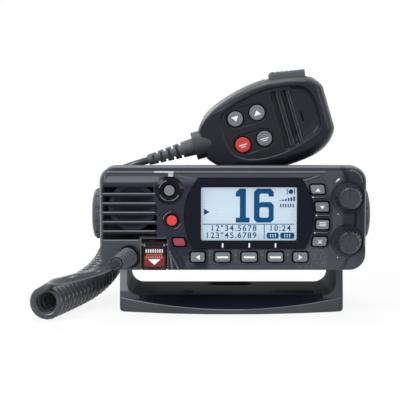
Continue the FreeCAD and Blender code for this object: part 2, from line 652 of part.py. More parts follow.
def make_distress():
    half_w = COVER_W / 2
    low_v = BOTTOM + 0.3
    plate = face_box(POCKET_U - half_w, POCKET_U + half_w, low_v, HINGE_V + COVER_ABOVE_HINGE,
                     -COVER_PROUD, COVER_PLATE - COVER_PROUD)
    plate = plate.makeFillet(0.4, edges_at_y(plate, FACE_Y - COVER_PROUD))
    wing_back = 2.2
    wings = [face_box(u, u + 1.0, low_v + 1.0, HINGE_V - 2.0, 0.0, wing_back)
             for u in (POCKET_U - half_w, POCKET_U + half_w - 1.0)]
    hinge_end = on_face(POCKET_U - half_w, HINGE_V, HINGE_BEHIND_FACE)
    cover = union([plate, rod(hinge_end, X_AXIS, HINGE_BARREL_R, COVER_W)] + wings)
    pin_end = on_face(POCKET_U - POCKET_W / 2, HINGE_V, HINGE_BEHIND_FACE)
    parts["distress_cover"] = cover.cut(rod(pin_end, X_AXIS, HINGE_PIN_R + 0.05, POCKET_W))
    parts["distress_hinge_pin"] = rod(pin_end, X_AXIS, HINGE_PIN_R, POCKET_W)
    key_back = BOARD_BEHIND_FACE - KEY_TRAVEL - 0.2
    key = face_rod(POCKET_U, distress_key_v(), DISTRESS_KEY_R, wing_back + 0.4, key_back)
    parts["distress_key"] = key.makeFillet(KEY_EDGE_R, edges_at_y(key, FACE_Y + wing_back + 0.4))


# ---------------------------------------------------------------- case
def screw_heights():
    return (CASE_V + 15.0, CASE_V - 15.0)


def screw_y():
    return CASE_FRONT_Y + SKIRT_DEPTH / 2 - 0.5


def make_rear_chassis():
    depth = CASE_FRONT_Y - FACE_Y
    outside = rounded_prism(0, CASE_V, CASE_W, CASE_H, CASE_CORNER_R, depth, depth + CASE_DEPTH)
    inner_w = CASE_W - 2 * CASE_WALL
    inner_h = CASE_H - 2 * CASE_WALL
    hollow_end = depth + CASE_DEPTH - CASE_BACK_WALL
    hollow = rounded_prism(0, CASE_V, inner_w, inner_h, 2.0, depth - 1, hollow_end)
    case = outside.cut(hollow)
    fin_low = CASE_BOTTOM_Z + 3.0
    fin_high = CASE_TOP_Z - 3.0
    fins = []
    x = -CASE_W / 2 + 5.0
    while x < CASE_W / 2 - 45.0:
        fins.append(box(x, x + FIN_WIDTH, CASE_BACK_Y - 1.0, CASE_BACK_Y + FIN_DEPTH, fin_low, fin_high))
        x += FIN_PITCH
    insert_r = STUD_R + STUD_CLEARANCE
    bosses = []
    cuts = []
    for side in (-1, 1):
        wall_x = side * CASE_W / 2
        bosses.append(rod(V(wall_x - side * 1.0, 0, PIVOT_Z), V(-side, 0, 0), 6.5, 11.0))
        cuts.append(rod(V(wall_x + side, 0, PIVOT_Z), V(-side, 0, 0), insert_r, 11.5))
        for v in screw_heights():
            head = V(wall_x, screw_y(), PANEL_Z + v)
            cuts.append(rod(head, V(-side, 0, 0), 1.65, CASE_WALL + 1))
            cuts.append(Part.makeCone(3.0, 1.65, 1.5, head, V(-side, 0, 0)))
    for x, z, radius in rear_fittings():
        cuts.append(rod(V(x, CASE_BACK_Y - CASE_BACK_WALL - 1, z), Y_AXIS, radius, CASE_BACK_WALL + 2))
    case = case.multiFuse(fins + bosses)
    parts["rear_chassis"] = case.cut(cuts[0].multiFuse(cuts[1:]))


def rear_fittings():
    """Centre and wall-hole radius of the antenna socket and the two lead glands."""
    x = CASE_W / 2 - 20.0
    return [(x, PIVOT_Z + 9.0, 7.0), (x - 12.0, PIVOT_Z - 13.0, 5.0), (x + 8.0, PIVOT_Z - 13.0, 4.0)]


def make_case_fittings():
    x, z, radius = rear_fittings()[0]
    inside = CASE_BACK_Y - CASE_BACK_WALL
    flange = rod(V(x, CASE_BACK_Y, z), Y_AXIS, 11.0, 2.0)
    barrel = rod(V(x, inside, z), Y_AXIS, radius, CASE_BACK_WALL + 1.0)
    thread = rod(V(x, CASE_BACK_Y + 1.5, z), Y_AXIS, 7.94, 13.0)
    bore = rod(V(x, CASE_BACK_Y + 5.0, z), Y_AXIS, 5.8, 12.0)
    pin = rod(V(x, CASE_BACK_Y + 4.0, z), Y_AXIS, 2.4, 8.0)
    pin_bore = rod(V(x, CASE_BACK_Y + 6.0, z), Y_AXIS, 1.9, 8.0)
    socket = union([flange, barrel, thread]).cut(bore).fuse(pin).cut(pin_bore)
    parts["antenna_socket"] = socket.removeSplitter()

    glands = []
    for x, z, radius in rear_fittings()[1:]:
        body = rod(V(x, inside, z), Y_AXIS, radius, CASE_BACK_WALL)
        collar = Part.makeCone(radius + 1.8, radius + 0.6, 6.0, V(x, CASE_BACK_Y, z), Y_AXIS)
        glands.append(body.fuse(collar).cut(rod(V(x, CASE_BACK_Y - 1, z), Y_AXIS, radius - 1.8, 8.0)))
    parts["rear_lead_glands"] = Part.makeCompound(glands)

    screws = []
    for side in (-1, 1):
        for v in screw_heights():
            head = V(side * (CASE_W / 2 - 0.1), screw_y(), PANEL_Z + v)
            cone = Part.makeCone(2.75, 1.5, 1.25, head, V(-side, 0, 0))
            shank = rod(head, V(-side, 0, 0), 1.5, CASE_WALL + SKIRT_WALL)
            slot = box(head.x - 0.4, head.x + 0.4, head.y - 1.8, head.y + 1.8, head.z - 0.4, head.z + 0.4)
            cross = box(head.x - 0.4, head.x + 0.4, head.y - 0.4, head.y + 0.4, head.z - 1.8, head.z + 1.8)
            screws.append(cone.fuse(shank).cut(slot.fuse(cross)))
    parts["panel_screws"] = Part.makeCompound(screws)

    washers = []
    for side in (-1, 1):
        start = V(side * CASE_W / 2, 0, PIVOT_Z)
        thickness = SIDE_GAP - 0.1
        disc = rod(start, V(side, 0, 0), 11.0, thickness)
        washers.append(disc.cut(rod(start, V(side, 0, 0), STUD_R + 0.5, thickness)))
    parts["tilt_washers"] = Part.makeCompound(washers)


# ---------------------------------------------------------------- bracket
def nose_section(x):
    """Upright section of the base's bowed front, at x."""
    share = (x / ARM_OUTER_X) ** 2
    front_y = NOSE_END_Y - NOSE_BOW * (1 - share)
    lip_z = NOSE_LIP_MIDDLE + (NOSE_LIP_END - NOSE_LIP_MIDDLE) * share
    corners = [V(x, BASE_FRONT_Y, 0), V(x, BASE_FRONT_Y, BASE_THICKNESS), V(x, front_y, lip_z),
               V(x, front_y, 0)]
    return Part.makePolygon(corners + corners[:1])


def arm_side_view():
    """Side view of the bracket: base, and arms that lean in to a round top about the tilt axis."""
    def tangent_from(y, z, side):
        away = math.hypot(y, PIVOT_Z - z)
        swing = math.atan2(PIVOT_Z - z, -y) + side * math.acos(ARM_TOP_R / away)
        return V(0, -ARM_TOP_R * math.cos(swing), PIVOT_Z - ARM_TOP_R * math.sin(swing))
    front = V(0, NOSE_END_Y, NOSE_LIP_END)
    back = V(0, BASE_BACK_Y, BASE_THICKNESS)
    touch_front = tangent_from(front.y, front.z, -1)
    touch_back = tangent_from(back.y, back.z, 1)
    top = V(0, 0, PIVOT_Z + ARM_TOP_R)
    edges = [Part.makeLine(V(0, NOSE_END_Y, 0), front), Part.makeLine(front, touch_front),
             Part.Arc(touch_front, top, touch_back).toShape(), Part.makeLine(touch_back, back),
             Part.makeLine(back, V(0, BASE_BACK_Y, 0)),
             Part.makeLine(V(0, BASE_BACK_Y, 0), V(0, NOSE_END_Y, 0))]
    return Part.Wire(edges)


def obround(x, y, z0, z1, length, width):
    half = (length - width) / 2
    ends = [rod(V(x + side * half, y, z0), Z_AXIS, width / 2, z1 - z0) for side in (-1, 1)]
    middle = box(x - half, x + half, y - width / 2, y + width / 2, z0, z1)
    return ends[0].multiFuse([ends[1], middle])


def make_bracket():
    top_z = PIVOT_Z + ARM_TOP_R + 1
    block = box(-ARM_OUTER_X, ARM_OUTER_X, NOSE_END_Y - 1, BASE_BACK_Y + 1, 0, top_z)
    gap = box(-ARM_INNER_X, ARM_INNER_X, NOSE_END_Y - 2, BASE_BACK_Y + 2, BASE_THICKNESS, top_z + 1)
    low_edges = [e for e in edges_along(gap, Y_AXIS) if e.BoundBox.ZMax < BASE_THICKNESS + 0.1]
    gap = gap.makeFillet(BRACKET_INNER_R, low_edges)
    low_edges = [e for e in edges_along(block, Y_AXIS) if e.BoundBox.ZMax < 0.1]
    u_shape = block.makeFillet(BRACKET_OUTER_R, low_edges).cut(gap)
    side_view = Part.Face(arm_side_view()).extrude(V(2 * ARM_OUTER_X + 2, 0, 0))
    side_view.translate(V(-ARM_OUTER_X - 1, 0, 0))
    body = u_shape.common(side_view)
    reach = ARM_OUTER_X - BRACKET_OUTER_R
    stations = [-reach, -0.6 * reach, -0.2 * reach, 0.2 * reach, 0.6 * reach, reach]
    nose = Part.makeLoft([nose_section(x) for x in stations], True, False)
    trim = box(-reach, reach, NOSE_END_Y - 1, BASE_FRONT_Y, -1, BASE_THICKNESS)
    flat = ARM_INNER_X - BRACKET_INNER_R
    middle = box(-flat, flat, NOSE_END_Y - 1, BASE_FRONT_Y, -1, BASE_THICKNESS + 1)
    body = body.cut(trim.common(middle)).fuse(nose)
    cuts = []
    front_x = FRONT_SLOT_SPACING / 2
    for x, y in ((-front_x, FRONT_SLOT_Y), (front_x, FRONT_SLOT_Y), (0.0, REAR_SLOT_Y)):
        cuts.append(obround(x, y, -1, BASE_THICKNESS + 1, SLOT_LENGTH, SLOT_WIDTH))
        cuts.append(obround(x, y, SLOT_FLOOR, BASE_THICKNESS + 1, SLOT_RECESS_LENGTH, SLOT_RECESS_WIDTH))
    hole = rod(V(-ARM_OUTER_X - 1, 0, PIVOT_Z), X_AXIS, STUD_R + STUD_CLEARANCE, 2 * ARM_OUTER_X + 2)
    parts["mounting_bracket"] = body.cut(cuts[0].multiFuse(cuts[1:] + [hole])).removeSplitter()


def make_gimbal_knob(name, side):
    start = V(side * (ARM_OUTER_X + 0.3), 0, PIVOT_Z)
    out = V(side, 0, 0)
    hub = 3.0
    dome = KNOB_LENGTH - KNOB_RIM - hub
    profile = [(0.0, 0.0), (0.0, KNOB_HUB_R), (hub, KNOB_HUB_R + 0.5), (hub, KNOB_R - 0.8),
               (hub + 0.8, KNOB_R), (hub + KNOB_RIM, KNOB_R - 0.3),
               (KNOB_LENGTH - dome * 0.45, KNOB_R * 0.90), (KNOB_LENGTH - dome * 0.12, KNOB_R * 0.66),
               (KNOB_LENGTH, KNOB_R * 0.35), (KNOB_LENGTH, 0.0)]
    knob = revolve(profile, start, out)
    cuts = []
    for index in range(KNOB_SCALLOPS):
        angle = 2 * math.pi * (index + 0.5) / KNOB_SCALLOPS
        reach = KNOB_R + 1.4
        spot = V(start.x, reach * math.cos(angle), PIVOT_Z + reach * math.sin(angle))
        cuts.append(rod(spot, out, 2.3, hub + KNOB_RIM + 1.0))
    socket_depth = 9.0
    cuts.append(rod(start, out, STUD_R, socket_depth))
    parts[name + "_knob"] = knob.cut(cuts[0].multiFuse(cuts[1:]))
    stud_start = V(side * (CASE_W / 2 - 9.0), 0, PIVOT_Z)
    length = abs(start.x) + socket_depth - (CASE_W / 2 - 9.0)
    parts[name + "_stud"] = rod(stud_start, out, STUD_R, length)


# ---------------------------------------------------------------- gland and strain relief at the panel
def relief_axis():
    return V(RELIEF_DIRECTION).normalize()


def relief_start():
    return on_face(GLAND_U, GLAND_V, 1.5)


def make_panel_relief():
    gland = face_rod(GLAND_U, GLAND_V, GLAND_R, 1.5, 9.0)
    nut_r = GLAND_ABOVE_EDGE - PANEL_WALL - 0.2
    nut = face_rod(GLAND_U, GLAND_V, nut_r, POCKET_DEPTH + POCKET_WALL + 0.2, 8.8)
    parts["cord_gland"] = gland.fuse(nut)
    length = RELIEF_LENGTH
    profile = [(0.0, 0.0), (0.0, GLAND_R - 0.4)]
    pitch = (length - 2.0) / RELIEF_RINGS
    for index in range(RELIEF_RINGS):
        along = 2.0 + index * pitch
        radius = RELIEF_BASE_R + (RELIEF_END_R - RELIEF_BASE_R) * along / length
        inner = radius - RELIEF_GROOVE
        profile += [(along, inner), (along + 0.2 * pitch, radius), (along + 0.7 * pitch, radius),
                    (along + 0.85 * pitch, inner), (along + pitch, inner)]
    profile += [(length, 0.0)]
    relief = revolve(profile, relief_start(), relief_axis())
    parts["cord_strain_relief"] = relief.cut(parts["cord_gland"])


# ---------------------------------------------------------------- microphone
def mic_place(shape):
    """Carry a shape from the microphone's own plane (s = X, t = Z) to where it rests."""
    shape.rotate(V(0, 0, 0), Y_AXIS, -MIC_TILT)
    shape.translate(V(MIC_ORIGIN_X, MIC_MIDDLE_Y, mic_origin_z()))
    return shape


def mic_origin_z():
    """Height of the cord end, so that the lowest edge rests just above the case."""
    angle = math.radians(MIC_TILT)
    ends = [s * math.sin(angle) - t * math.cos(angle) for s, t in MIC_HALF_WIDTHS]
    between = [(a + b) / 2 - 0.35 for a, b in zip(ends, ends[1:])]
    return CASE_TOP_Z + MIC_REST_GAP - min(ends + between)


def mic_half_widths(inset):
    length = MIC_LENGTH - MIC_NECK
    share = (length - 2 * inset) / length
    return [(MIC_NECK + inset + (s - MIC_NECK) * share, t - inset) for s, t in MIC_HALF_WIDTHS]


def mic_wire(inset, y):
    """Outline of the microphone seen from the front, moved in by an inset."""
    upper = [V(s, y, t) for s, t in mic_half_widths(inset)]
    lower = [V(s, y, -t) for s, t in reversed(mic_half_widths(inset))]
    top = Part.BSplineCurve()
    top.interpolate(upper)
    bottom = Part.BSplineCurve()
    bottom.interpolate(lower)
    return Part.Wire([top.toShape(), Part.makeLine(upper[-1], lower[0]), bottom.toShape(),
                      Part.makeLine(lower[-1], upper[0])])


def mic_half(depth, sign, inset):
    """One half of the body, from the seam plane out to its face; sign is -1 at the front."""
    stations = [(0.0, 0.0), (0.45, 0.5), (0.75, 1.6), (0.92, 3.6), (1.0, 6.0)]
    wires = []
    for share, pull in stations:
        wires.append(mic_wire(inset + pull, sign * share * (depth - inset)))
    return Part.makeLoft(wires, True, False)


def mic_seam_gap():
    return box(-5, MIC_LENGTH + 5, -MIC_SEAM, MIC_SEAM, -40, 40)


def mic_neck_cut():
    """Wedge that thins the front shell towards the cord end, so the collar stands out of it."""
    corners = [V(-1, -MIC_FRONT - 1, -40), V(22, -MIC_FRONT - 1, -40), V(22, -MIC_FRONT, -40),
               V(3, -6.5, -40), V(-1, -6.5, -40)]
    return Part.Face(Part.makePolygon(corners + corners[:1])).extrude(V(0, 0, 80))


def collar_rod(radius, start, end):
    return rod(V(start, 0, 0), X_AXIS, radius, end - start)


def mic_key_places():
    near, far = MIC_KEY_S
    high, low = MIC_KEY_T
    return {"mic_down_key": (near, high), "mic_up_key": (far, high), "mic_red_key": (near, low),
            "mic_grey_key": (far, low)}


def make_mic_shells():
    front = mic_half(MIC_FRONT, -1, 0.0).cut(mic_neck_cut())
    front = front.cut(mic_half(MIC_FRONT - MIC_WALL, -1, MIC_WALL).cut(mic_neck_cut_inner()))
    back = mic_half(MIC_BACK, 1, 0.0)
    back = back.cut(mic_half(MIC_BACK - MIC_WALL, 1, MIC_WALL))
    seal = mic_half(MIC_FRONT, -1, 0.5).fuse(mic_half(MIC_BACK, 1, 0.5)).common(mic_seam_gap())
    seal = seal.cut(mic_half(MIC_FRONT - MIC_WALL, -1, MIC_WALL))
    seal = seal.cut(mic_half(MIC_BACK - MIC_WALL, 1, MIC_WALL))
    collar_hole = collar_rod(MIC_COLLAR_R + 0.05, -5, MIC_COLLAR_LENGTH)
    ptt_slot = ptt_block(0.4, -6.0, 8.0)
    cuts = [mic_seam_gap(), collar_hole, ptt_slot]
    key_depth = MIC_FRONT - 1.0
    panel = mic_face_recess()
    front_cuts = [panel]
    for s, t in mic_key_places().values():
        front_cuts.append(rod(V(s, -MIC_FRONT - 1, t), Y_AXIS, MIC_KEY_R + 0.5, key_depth))
    for t in MIC_KEY_T:
        oval = mic_oval(MIC_KEY_S[0], MIC_KEY_S[1], t, MIC_KEY_R + 1.5, mic_panel_y() + 0.5)
        front_cuts.append(oval)
    hollows = [(s, s + MIC_SOUND_SLOT_W, 16.0, 1.2) for s in MIC_SOUND_SLOTS] + [(*MIC_SCOOP_S, 14.0, 0.8)]
    for s0, s1, half_t, depth in hollows:
        slot = box(s0, s1, -MIC_FRONT - 1, mic_panel_y() + depth, -half_t, half_t)
        front_cuts.append(slot.makeFillet(1.0, edges_along(slot, Y_AXIS)))
    front_cuts.append(box(MIC_SLIT_S - 0.6, MIC_SLIT_S + 0.6, -MIC_FRONT - 1, -MIC_FRONT + 5.0, -4.0, 2.0))
    parts["mic_front_shell"] = mic_place(front.cut(cuts[0].multiFuse(cuts[1:] + front_cuts)))
    back_cuts = [rod(V(s, MIC_BACK - 4.0, t), Y_AXIS, 2.2, 6.0) for s, t in mic_screw_places()]
    back_cuts.append(rod(V(HANGER_S, MIC_BACK - 6.0, 0.0), Y_AXIS, HANGER_R, 10.0))
    parts["mic_rear_shell"] = mic_place(back.cut(cuts[0].multiFuse(cuts[1:] + back_cuts)))
    parts["mic_seam_seal"] = mic_place(seal.cut(collar_hole).cut(ptt_slot))


def mic_neck_cut_inner():
    corners = [V(-1, -MIC_FRONT - 1, -40), V(24, -MIC_FRONT - 1, -40), V(24, -MIC_FRONT + MIC_WALL, -40),
               V(3, -6.5 + MIC_WALL, -40), V(-1, -6.5 + MIC_WALL, -40)]
    return Part.Face(Part.makePolygon(corners + corners[:1])).extrude(V(0, 0, 80))


def mic_panel_y():
    return -MIC_FRONT + 0.9


def mic_face_recess():
    """Shallow sunk panel that carries the keys and the sound slots."""
    wire = mic_wire(8.5, -MIC_FRONT - 1)
    return Part.Face(wire).extrude(V(0, 1.0 + 0.9, 0)).common(box(19, 90, -MIC_FRONT - 2, 0, -40, 40))


def mic_oval(s0, s1, t, radius, y1):
    y0 = -MIC_FRONT - 1
    ends = [rod(V(s, y0, t), Y_AXIS, radius, y1 - y0) for s in (s0, s1)]
    middle = box(s0, s1, y0, y1, t - radius, t + radius)
    return ends[0].multiFuse([ends[1], middle])


def mic_screw_places():
    return [(20.0, 11.0), (20.0, -11.0), (70.0, 0.0)]


def ptt_block(grow, low, high):
    """Block under the push-to-talk bar, square to the edge that it stands on."""
    half_l = PTT_LENGTH / 2 + grow
    half_t = PTT_THICKNESS / 2 + grow
    block = box(-half_l, half_l, -half_t, half_t, low, high)
    block.rotate(V(0, 0, 0), Y_AXIS, -PTT_LEAN)
    block.translate(V(PTT_S, 0, 25.0))
    return block


def make_ptt():
    bar = ptt_block(0.0, -4.0, PTT_PROUD)
    rounded = [e for e in bar.Edges if e.CenterOfMass.z > 26.0]
    bar = bar.makeFillet(PTT_CORNER_R, rounded)
    grooves = []
    for index in range(6):
        start = V(-6.5 + index * 2.6, -PTT_THICKNESS, PTT_PROUD + 0.25)
        groove = rod(start, Y_AXIS, 0.7, 2 * PTT_THICKNESS)
        groove.rotate(V(0, 0, 0), Y_AXIS, -PTT_LEAN)
        groove.translate(V(PTT_S, 0, 25.0))
        grooves.append(groove)
    parts["ptt_button"] = mic_place(bar.cut(grooves[0].multiFuse(grooves[1:])))


def make_mic_keys():
    for name, (s, t) in mic_key_places().items():
        top_y = mic_panel_y() - MIC_KEY_PROUD
        key = rod(V(s, top_y, t), Y_AXIS, MIC_KEY_R, 4.6)
        parts[name] = mic_place(key.makeFillet(0.6, edges_at_y(key, top_y)))


def make_mic_inside():
    board = box(20.0, 50.0, -4.0, -2.6, -15.0, 15.0)
    switch = box(46.0, 50.0, -4.0, 3.0, 10.0, 15.0)
    parts["mic_board"] = mic_place(board.fuse(switch))
    profile = [(0.0, 0.0), (0.0, 12.0), (1.4, 12.0), (3.0, 8.0), (6.0, 8.0), (6.0, 0.0)]
    parts["mic_speaker"] = mic_place(revolve(profile, V(63.0, 1.0, 0.0), Y_AXIS))
    parts["mic_capsule"] = mic_place(rod(V(MIC_SLIT_S, -6.0, -1.0), Y_AXIS, 3.5, 4.5))
    shank = rod(V(HANGER_S, MIC_BACK - MIC_WALL, 0.0), Y_AXIS, HANGER_R, MIC_WALL + 4.0)
    head = rod(V(HANGER_S, MIC_BACK + 3.0, 0.0), Y_AXIS, 2 * HANGER_R, 2.5)
    head = head.makeFillet(0.6, edges_at_y(head, MIC_BACK + 5.5))
    parts["mic_hanger_button"] = mic_place(shank.fuse(head))
    screws = [rod(V(s, MIC_BACK - 4.0, t), Y_AXIS, 2.0, 1.8) for s, t in mic_screw_places()]
    parts["mic_screws"] = Part.makeCompound([mic_place(screw) for screw in screws])


def make_mic_cord_end():
    collar = collar_rod(MIC_COLLAR_R, 0.0, MIC_COLLAR_LENGTH)
    rounded = [e for e in collar.Edges if abs(e.BoundBox.XMin - MIC_COLLAR_LENGTH) < 1e-4]
    parts["mic_collar"] = mic_place(collar.makeFillet(3.0, rounded))
    profile = [(0.0, 0.0), (0.0, MIC_RELIEF_BASE_R), (MIC_RELIEF_LENGTH - 0.5, MIC_RELIEF_END_R),
               (MIC_RELIEF_LENGTH, MIC_RELIEF_END_R - 0.5), (MIC_RELIEF_LENGTH, 0.0)]
    relief = revolve(profile, V(0, 0, 0), V(-1, 0, 0))
    core = 2.4
    reach = 2 * MIC_RELIEF_BASE_R
    cuts = []
    for side in (-1, 1):
        near, far = sorted((side * core, side * reach))
        for along in MIC_SIDE_SLOTS:
            s = along - MIC_RELIEF_LENGTH
            cuts.append(box(s - 0.75, s + 0.75, near, far, -4.0, 4.0))
        for along in MIC_EDGE_SLOTS:
            s = along - MIC_RELIEF_LENGTH
            cuts.append(box(s - 0.65, s + 0.65, -3.6, 3.6, near, far))
    parts["mic_strain_relief"] = mic_place(relief.cut(cuts[0].multiFuse(cuts[1:])))


# ---------------------------------------------------------------- cord
# The route was settled for the sizes above: these points do not follow a changed size, except
# for the two ends, which stay at their strain reliefs.
LEAD_POINTS = [V(-77.5, -79.0, 30.5), V(-90.0, -79.0, 27.0), V(-101.5, -76.0, 22.0), V(-111.0, -69.0, 15.8)]
COIL_POINTS = [V(-105.5, -50.0, 9.9), V(-97.0, -20.0, 9.9), V(-84.5, 8.0, 13.5), V(-77.5, 36.0, 20.5),
               V(-72.5, 55.5, 35.0), V(-71.5, 60.5, 50.0), V(-70.5, 59.0, 62.5)]
TAIL_POINTS = [V(-69.6, 46.6, 76.2), V(-69.3, 39.2, 79.5), V(-69.2, 27.8, 80.5), V(-69.9, 16.0, 80.2),
               V(-69.0, 4.6, 81.5)]
WIND_R = (COIL_D - CORD_D) / 2


def lead_route():
    """From the panel's strain relief, round in front and into the coil's front face."""
    axis = relief_axis()
    start = relief_start() + axis * RELIEF_LENGTH
    run = (COIL_POINTS[1] - COIL_POINTS[0]).normalize()
    left = Z_AXIS.cross(run)
    end = COIL_POINTS[0] + left * WIND_R
    return [start, start + axis * 11.0] + LEAD_POINTS + [end - run * 12.0, end]


def tail_route():
    """From the coil's upper face, over the knob's side of the case and into the microphone's relief."""
    run = (COIL_POINTS[-1] - COIL_POINTS[-2]).normalize()
    forward = run.cross(V(0, -1, 0)).cross(run).normalize()
    start = COIL_POINTS[-1] + forward * WIND_R
    angle = math.radians(MIC_TILT)
    along = V(-math.cos(angle), 0, -math.sin(angle))
    end = V(MIC_ORIGIN_X, MIC_MIDDLE_Y, mic_origin_z()) + along * MIC_RELIEF_LENGTH
    return [start, start + run * 8.0] + TAIL_POINTS + [end + along * 12.0, end]


def path_wire(points, name):
    """Straight runs joined by tangent arcs, each as large as its two runs allow."""
    edges = []
    radii = []
    last = points[0]
    for before, corner, after in zip(points, points[1:], points[2:]):
        back = (before - corner)
        ahead = (after - corner)
        shorter = min(back.Length, ahead.Length)
        back.normalize()
        ahead.normalize()
        turn = math.pi - back.getAngle(ahead)
        cut = 0.45 * shorter
        radius = cut / math.tan(turn / 2)
        radii.append(round(radius, 1))
        arc_start = corner + back * cut
        arc_end = corner + ahead * cut
        middle_dir = (back + ahead).normalize()
        middle = corner + middle_dir * (radius / math.cos(turn / 2) - radius)
        edges.append(Part.LineSegment(last, arc_start).toShape())
        edges.append(Part.Arc(arc_start, middle, arc_end).toShape())
        last = arc_end
    edges.append(Part.LineSegment(last, points[-1]).toShape())
    wire = Part.Wire(edges)
    print(name, "length", round(wire.Length, 1), "radii", radii)
    return wire


def tube(points, diameter, name):
    wire = path_wire(points, name)
    direction = (points[1] - points[0]).normalize()
    section = Part.Wire(Part.makeCircle(diameter / 2, points[0], direction))
    solid = wire.makePipeShell([section], True, True)
    expected = math.pi * diameter ** 2 / 4 * wire.Length
    print(name, "volume against section times length", round(solid.Volume / expected, 4))
    return solid


def make_cord():
    parts["cord_lead"] = tube(lead_route(), CORD_D, "cord_lead")
    parts["cord_coil"] = tube(COIL_POINTS, COIL_D, "cord_coil")
    parts["cord_tail"] = tube(tail_route(), CORD_D, "cord_tail")


# ---------------------------------------------------------------- build and write
def build():
    make_bracket()
    make_gimbal_knob("left_gimbal", -1)
    make_gimbal_knob("right_gimbal", 1)
    make_front_panel()
    make_panel_seal()
    make_display()
    make_scan_key_collar()
    make_keys()
    make_speaker()
    make_boards()
    make_rotary_controls()
    make_dial("volume_knob", "volume_shaft", VOLUME_V)
    make_dial("squelch_knob", "squelch_shaft", SQUELCH_V)
    make_distress()
    make_rear_chassis()
    make_case_fittings()
    make_panel_relief()
    make_mic_shells()
    make_ptt()
    make_mic_keys()
    make_mic_inside()
    make_mic_cord_end()
    make_cord()


build()
os.makedirs("parts", exist_ok=True)
for node, shape in parts.items():
    if not shape.isValid() or not shape.Solids:
        print("CHECK", node, "valid", shape.isValid(), "solids", len(shape.Solids))
    shape.exportStep("parts/" + node + ".step")
print(len(parts), "nodes")
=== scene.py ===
import math

import bmesh
import bpy
import numpy as np
from mathutils import Matrix, Vector
from mathutils.geometry import convex_hull_2d


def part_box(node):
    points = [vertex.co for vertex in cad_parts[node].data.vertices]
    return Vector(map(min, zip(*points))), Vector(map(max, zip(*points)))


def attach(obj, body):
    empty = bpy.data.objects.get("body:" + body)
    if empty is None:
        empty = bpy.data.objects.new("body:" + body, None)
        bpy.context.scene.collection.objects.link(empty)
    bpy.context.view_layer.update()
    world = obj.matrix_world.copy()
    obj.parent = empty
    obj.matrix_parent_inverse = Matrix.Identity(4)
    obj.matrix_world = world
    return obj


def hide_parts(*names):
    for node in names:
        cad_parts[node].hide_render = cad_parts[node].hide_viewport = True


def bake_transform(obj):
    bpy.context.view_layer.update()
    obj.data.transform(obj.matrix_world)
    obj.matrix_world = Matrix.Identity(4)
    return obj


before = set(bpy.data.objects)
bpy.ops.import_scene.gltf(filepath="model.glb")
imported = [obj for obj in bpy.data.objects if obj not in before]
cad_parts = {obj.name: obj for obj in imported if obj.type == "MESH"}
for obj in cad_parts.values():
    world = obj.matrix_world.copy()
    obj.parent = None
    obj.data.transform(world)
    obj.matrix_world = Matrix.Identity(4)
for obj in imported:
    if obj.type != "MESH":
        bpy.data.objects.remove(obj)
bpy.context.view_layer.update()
scene = bpy.context.scene
MM = 0.001
Z_AXIS = Vector((0, 0, 1))


# -------------------- camera, floor and lamps

CAMERA_PLACE = Vector((-18.5, -645.0, 120.6)) * MM
CAMERA_DOWN = math.radians(5.0)
CAMERA_LENS = 96.6
FLOOR_HALF = 3.0
FLOOR_FADE = (0.25, 0.75)
FLOOR_WHITE = (0.88, 1.0)
WHITE = (1.0, 1.0, 1.0, 1.0)
LAMPS = {
    # name: place, aimed at, width, depth, watts
    "window_left": ((-0.85, -0.75, 0.70), (0.0, 0.0, 0.06), 0.40, 0.60, 11.0),
    "window_right": ((1.00, -0.55, 0.45), (0.0, 0.0, 0.06), 0.30, 0.70, 4.0),
    "ceiling": ((-0.05, -0.05, 1.05), (0.0, 0.0, 0.05), 0.90, 0.40, 6.0),
    "behind": ((-0.55, 0.90, 0.60), (0.0, 0.0, 0.06), 0.60, 0.40, 2.5),
}


def placed(name, data):
    """A new object in the scene that holds a mesh, a curve, a lamp or a camera."""
    made = bpy.data.objects.new(name, data)
    scene.collection.objects.link(made)
    return made


def set_camera():
    """The camera, in front of the set and a little above it, looking slightly down."""
    lens = bpy.data.cameras.new("camera")
    lens.lens = CAMERA_LENS
    lens.clip_start, lens.clip_end = 0.01, 50.0
    camera = placed("camera", lens)
    camera.location = CAMERA_PLACE
    camera.rotation_euler = (math.pi / 2 - CAMERA_DOWN, 0.0, 0.0)
    scene.camera = camera


def node(tree, kind, fed=None, **values):
    """A node in a tree: fed says what feeds which input, values its properties and plain inputs."""
    made = tree.nodes.new(kind)
    for key, value in values.items():
        if hasattr(made, key):
            setattr(made, key, value)
        else:
            made.inputs[key.replace("_", " ")].default_value = value
    for entry, socket in (fed or {}).items():
        tree.links.new(socket, made.inputs[entry])
    return made


def reckon(tree, operation, first, second):
    """What arithmetic on two values gives."""
    return node(tree, "ShaderNodeMath", {0: first, 1: second}, operation=operation).outputs[0]


def vector_step(tree, operation, given, other=(0, 0, 0)):
    """What vector arithmetic on a socket and a fixed vector gives."""
    step = node(tree, "ShaderNodeVectorMath", {0: given}, operation=operation)
    step.inputs[1].default_value = other
    return step.outputs["Value" if operation == "LENGTH" else "Vector"]


def ramp(tree, value, low, high, start=0.0, end=1.0, **values):
    """start where a value is low, end where it is high, and a run between the two."""
    return node(tree, "ShaderNodeMapRange", {"Value": value}, From_Min=low, From_Max=high,
                To_Min=start, To_Max=end, **values).outputs[0]


def noise(tree, size, **values):
    """A cloudy value whose patches are about a size in millimetres."""
    place = node(tree, "ShaderNodeTexCoord").outputs["Object"]
    return node(tree, "ShaderNodeTexNoise", {"Vector": place}, Scale=1.0 / (size * MM),
                **values).outputs["Fac"]


def seen_directly(tree):
    """1 for what the camera, a mirror or a pane sees, and 0 for what lights the set."""
    path = node(tree, "ShaderNodeLightPath").outputs
    seen = reckon(tree, "MAXIMUM", path["Is Camera Ray"], path["Is Glossy Ray"])
    return reckon(tree, "MAXIMUM", seen, path["Is Transmission Ray"])


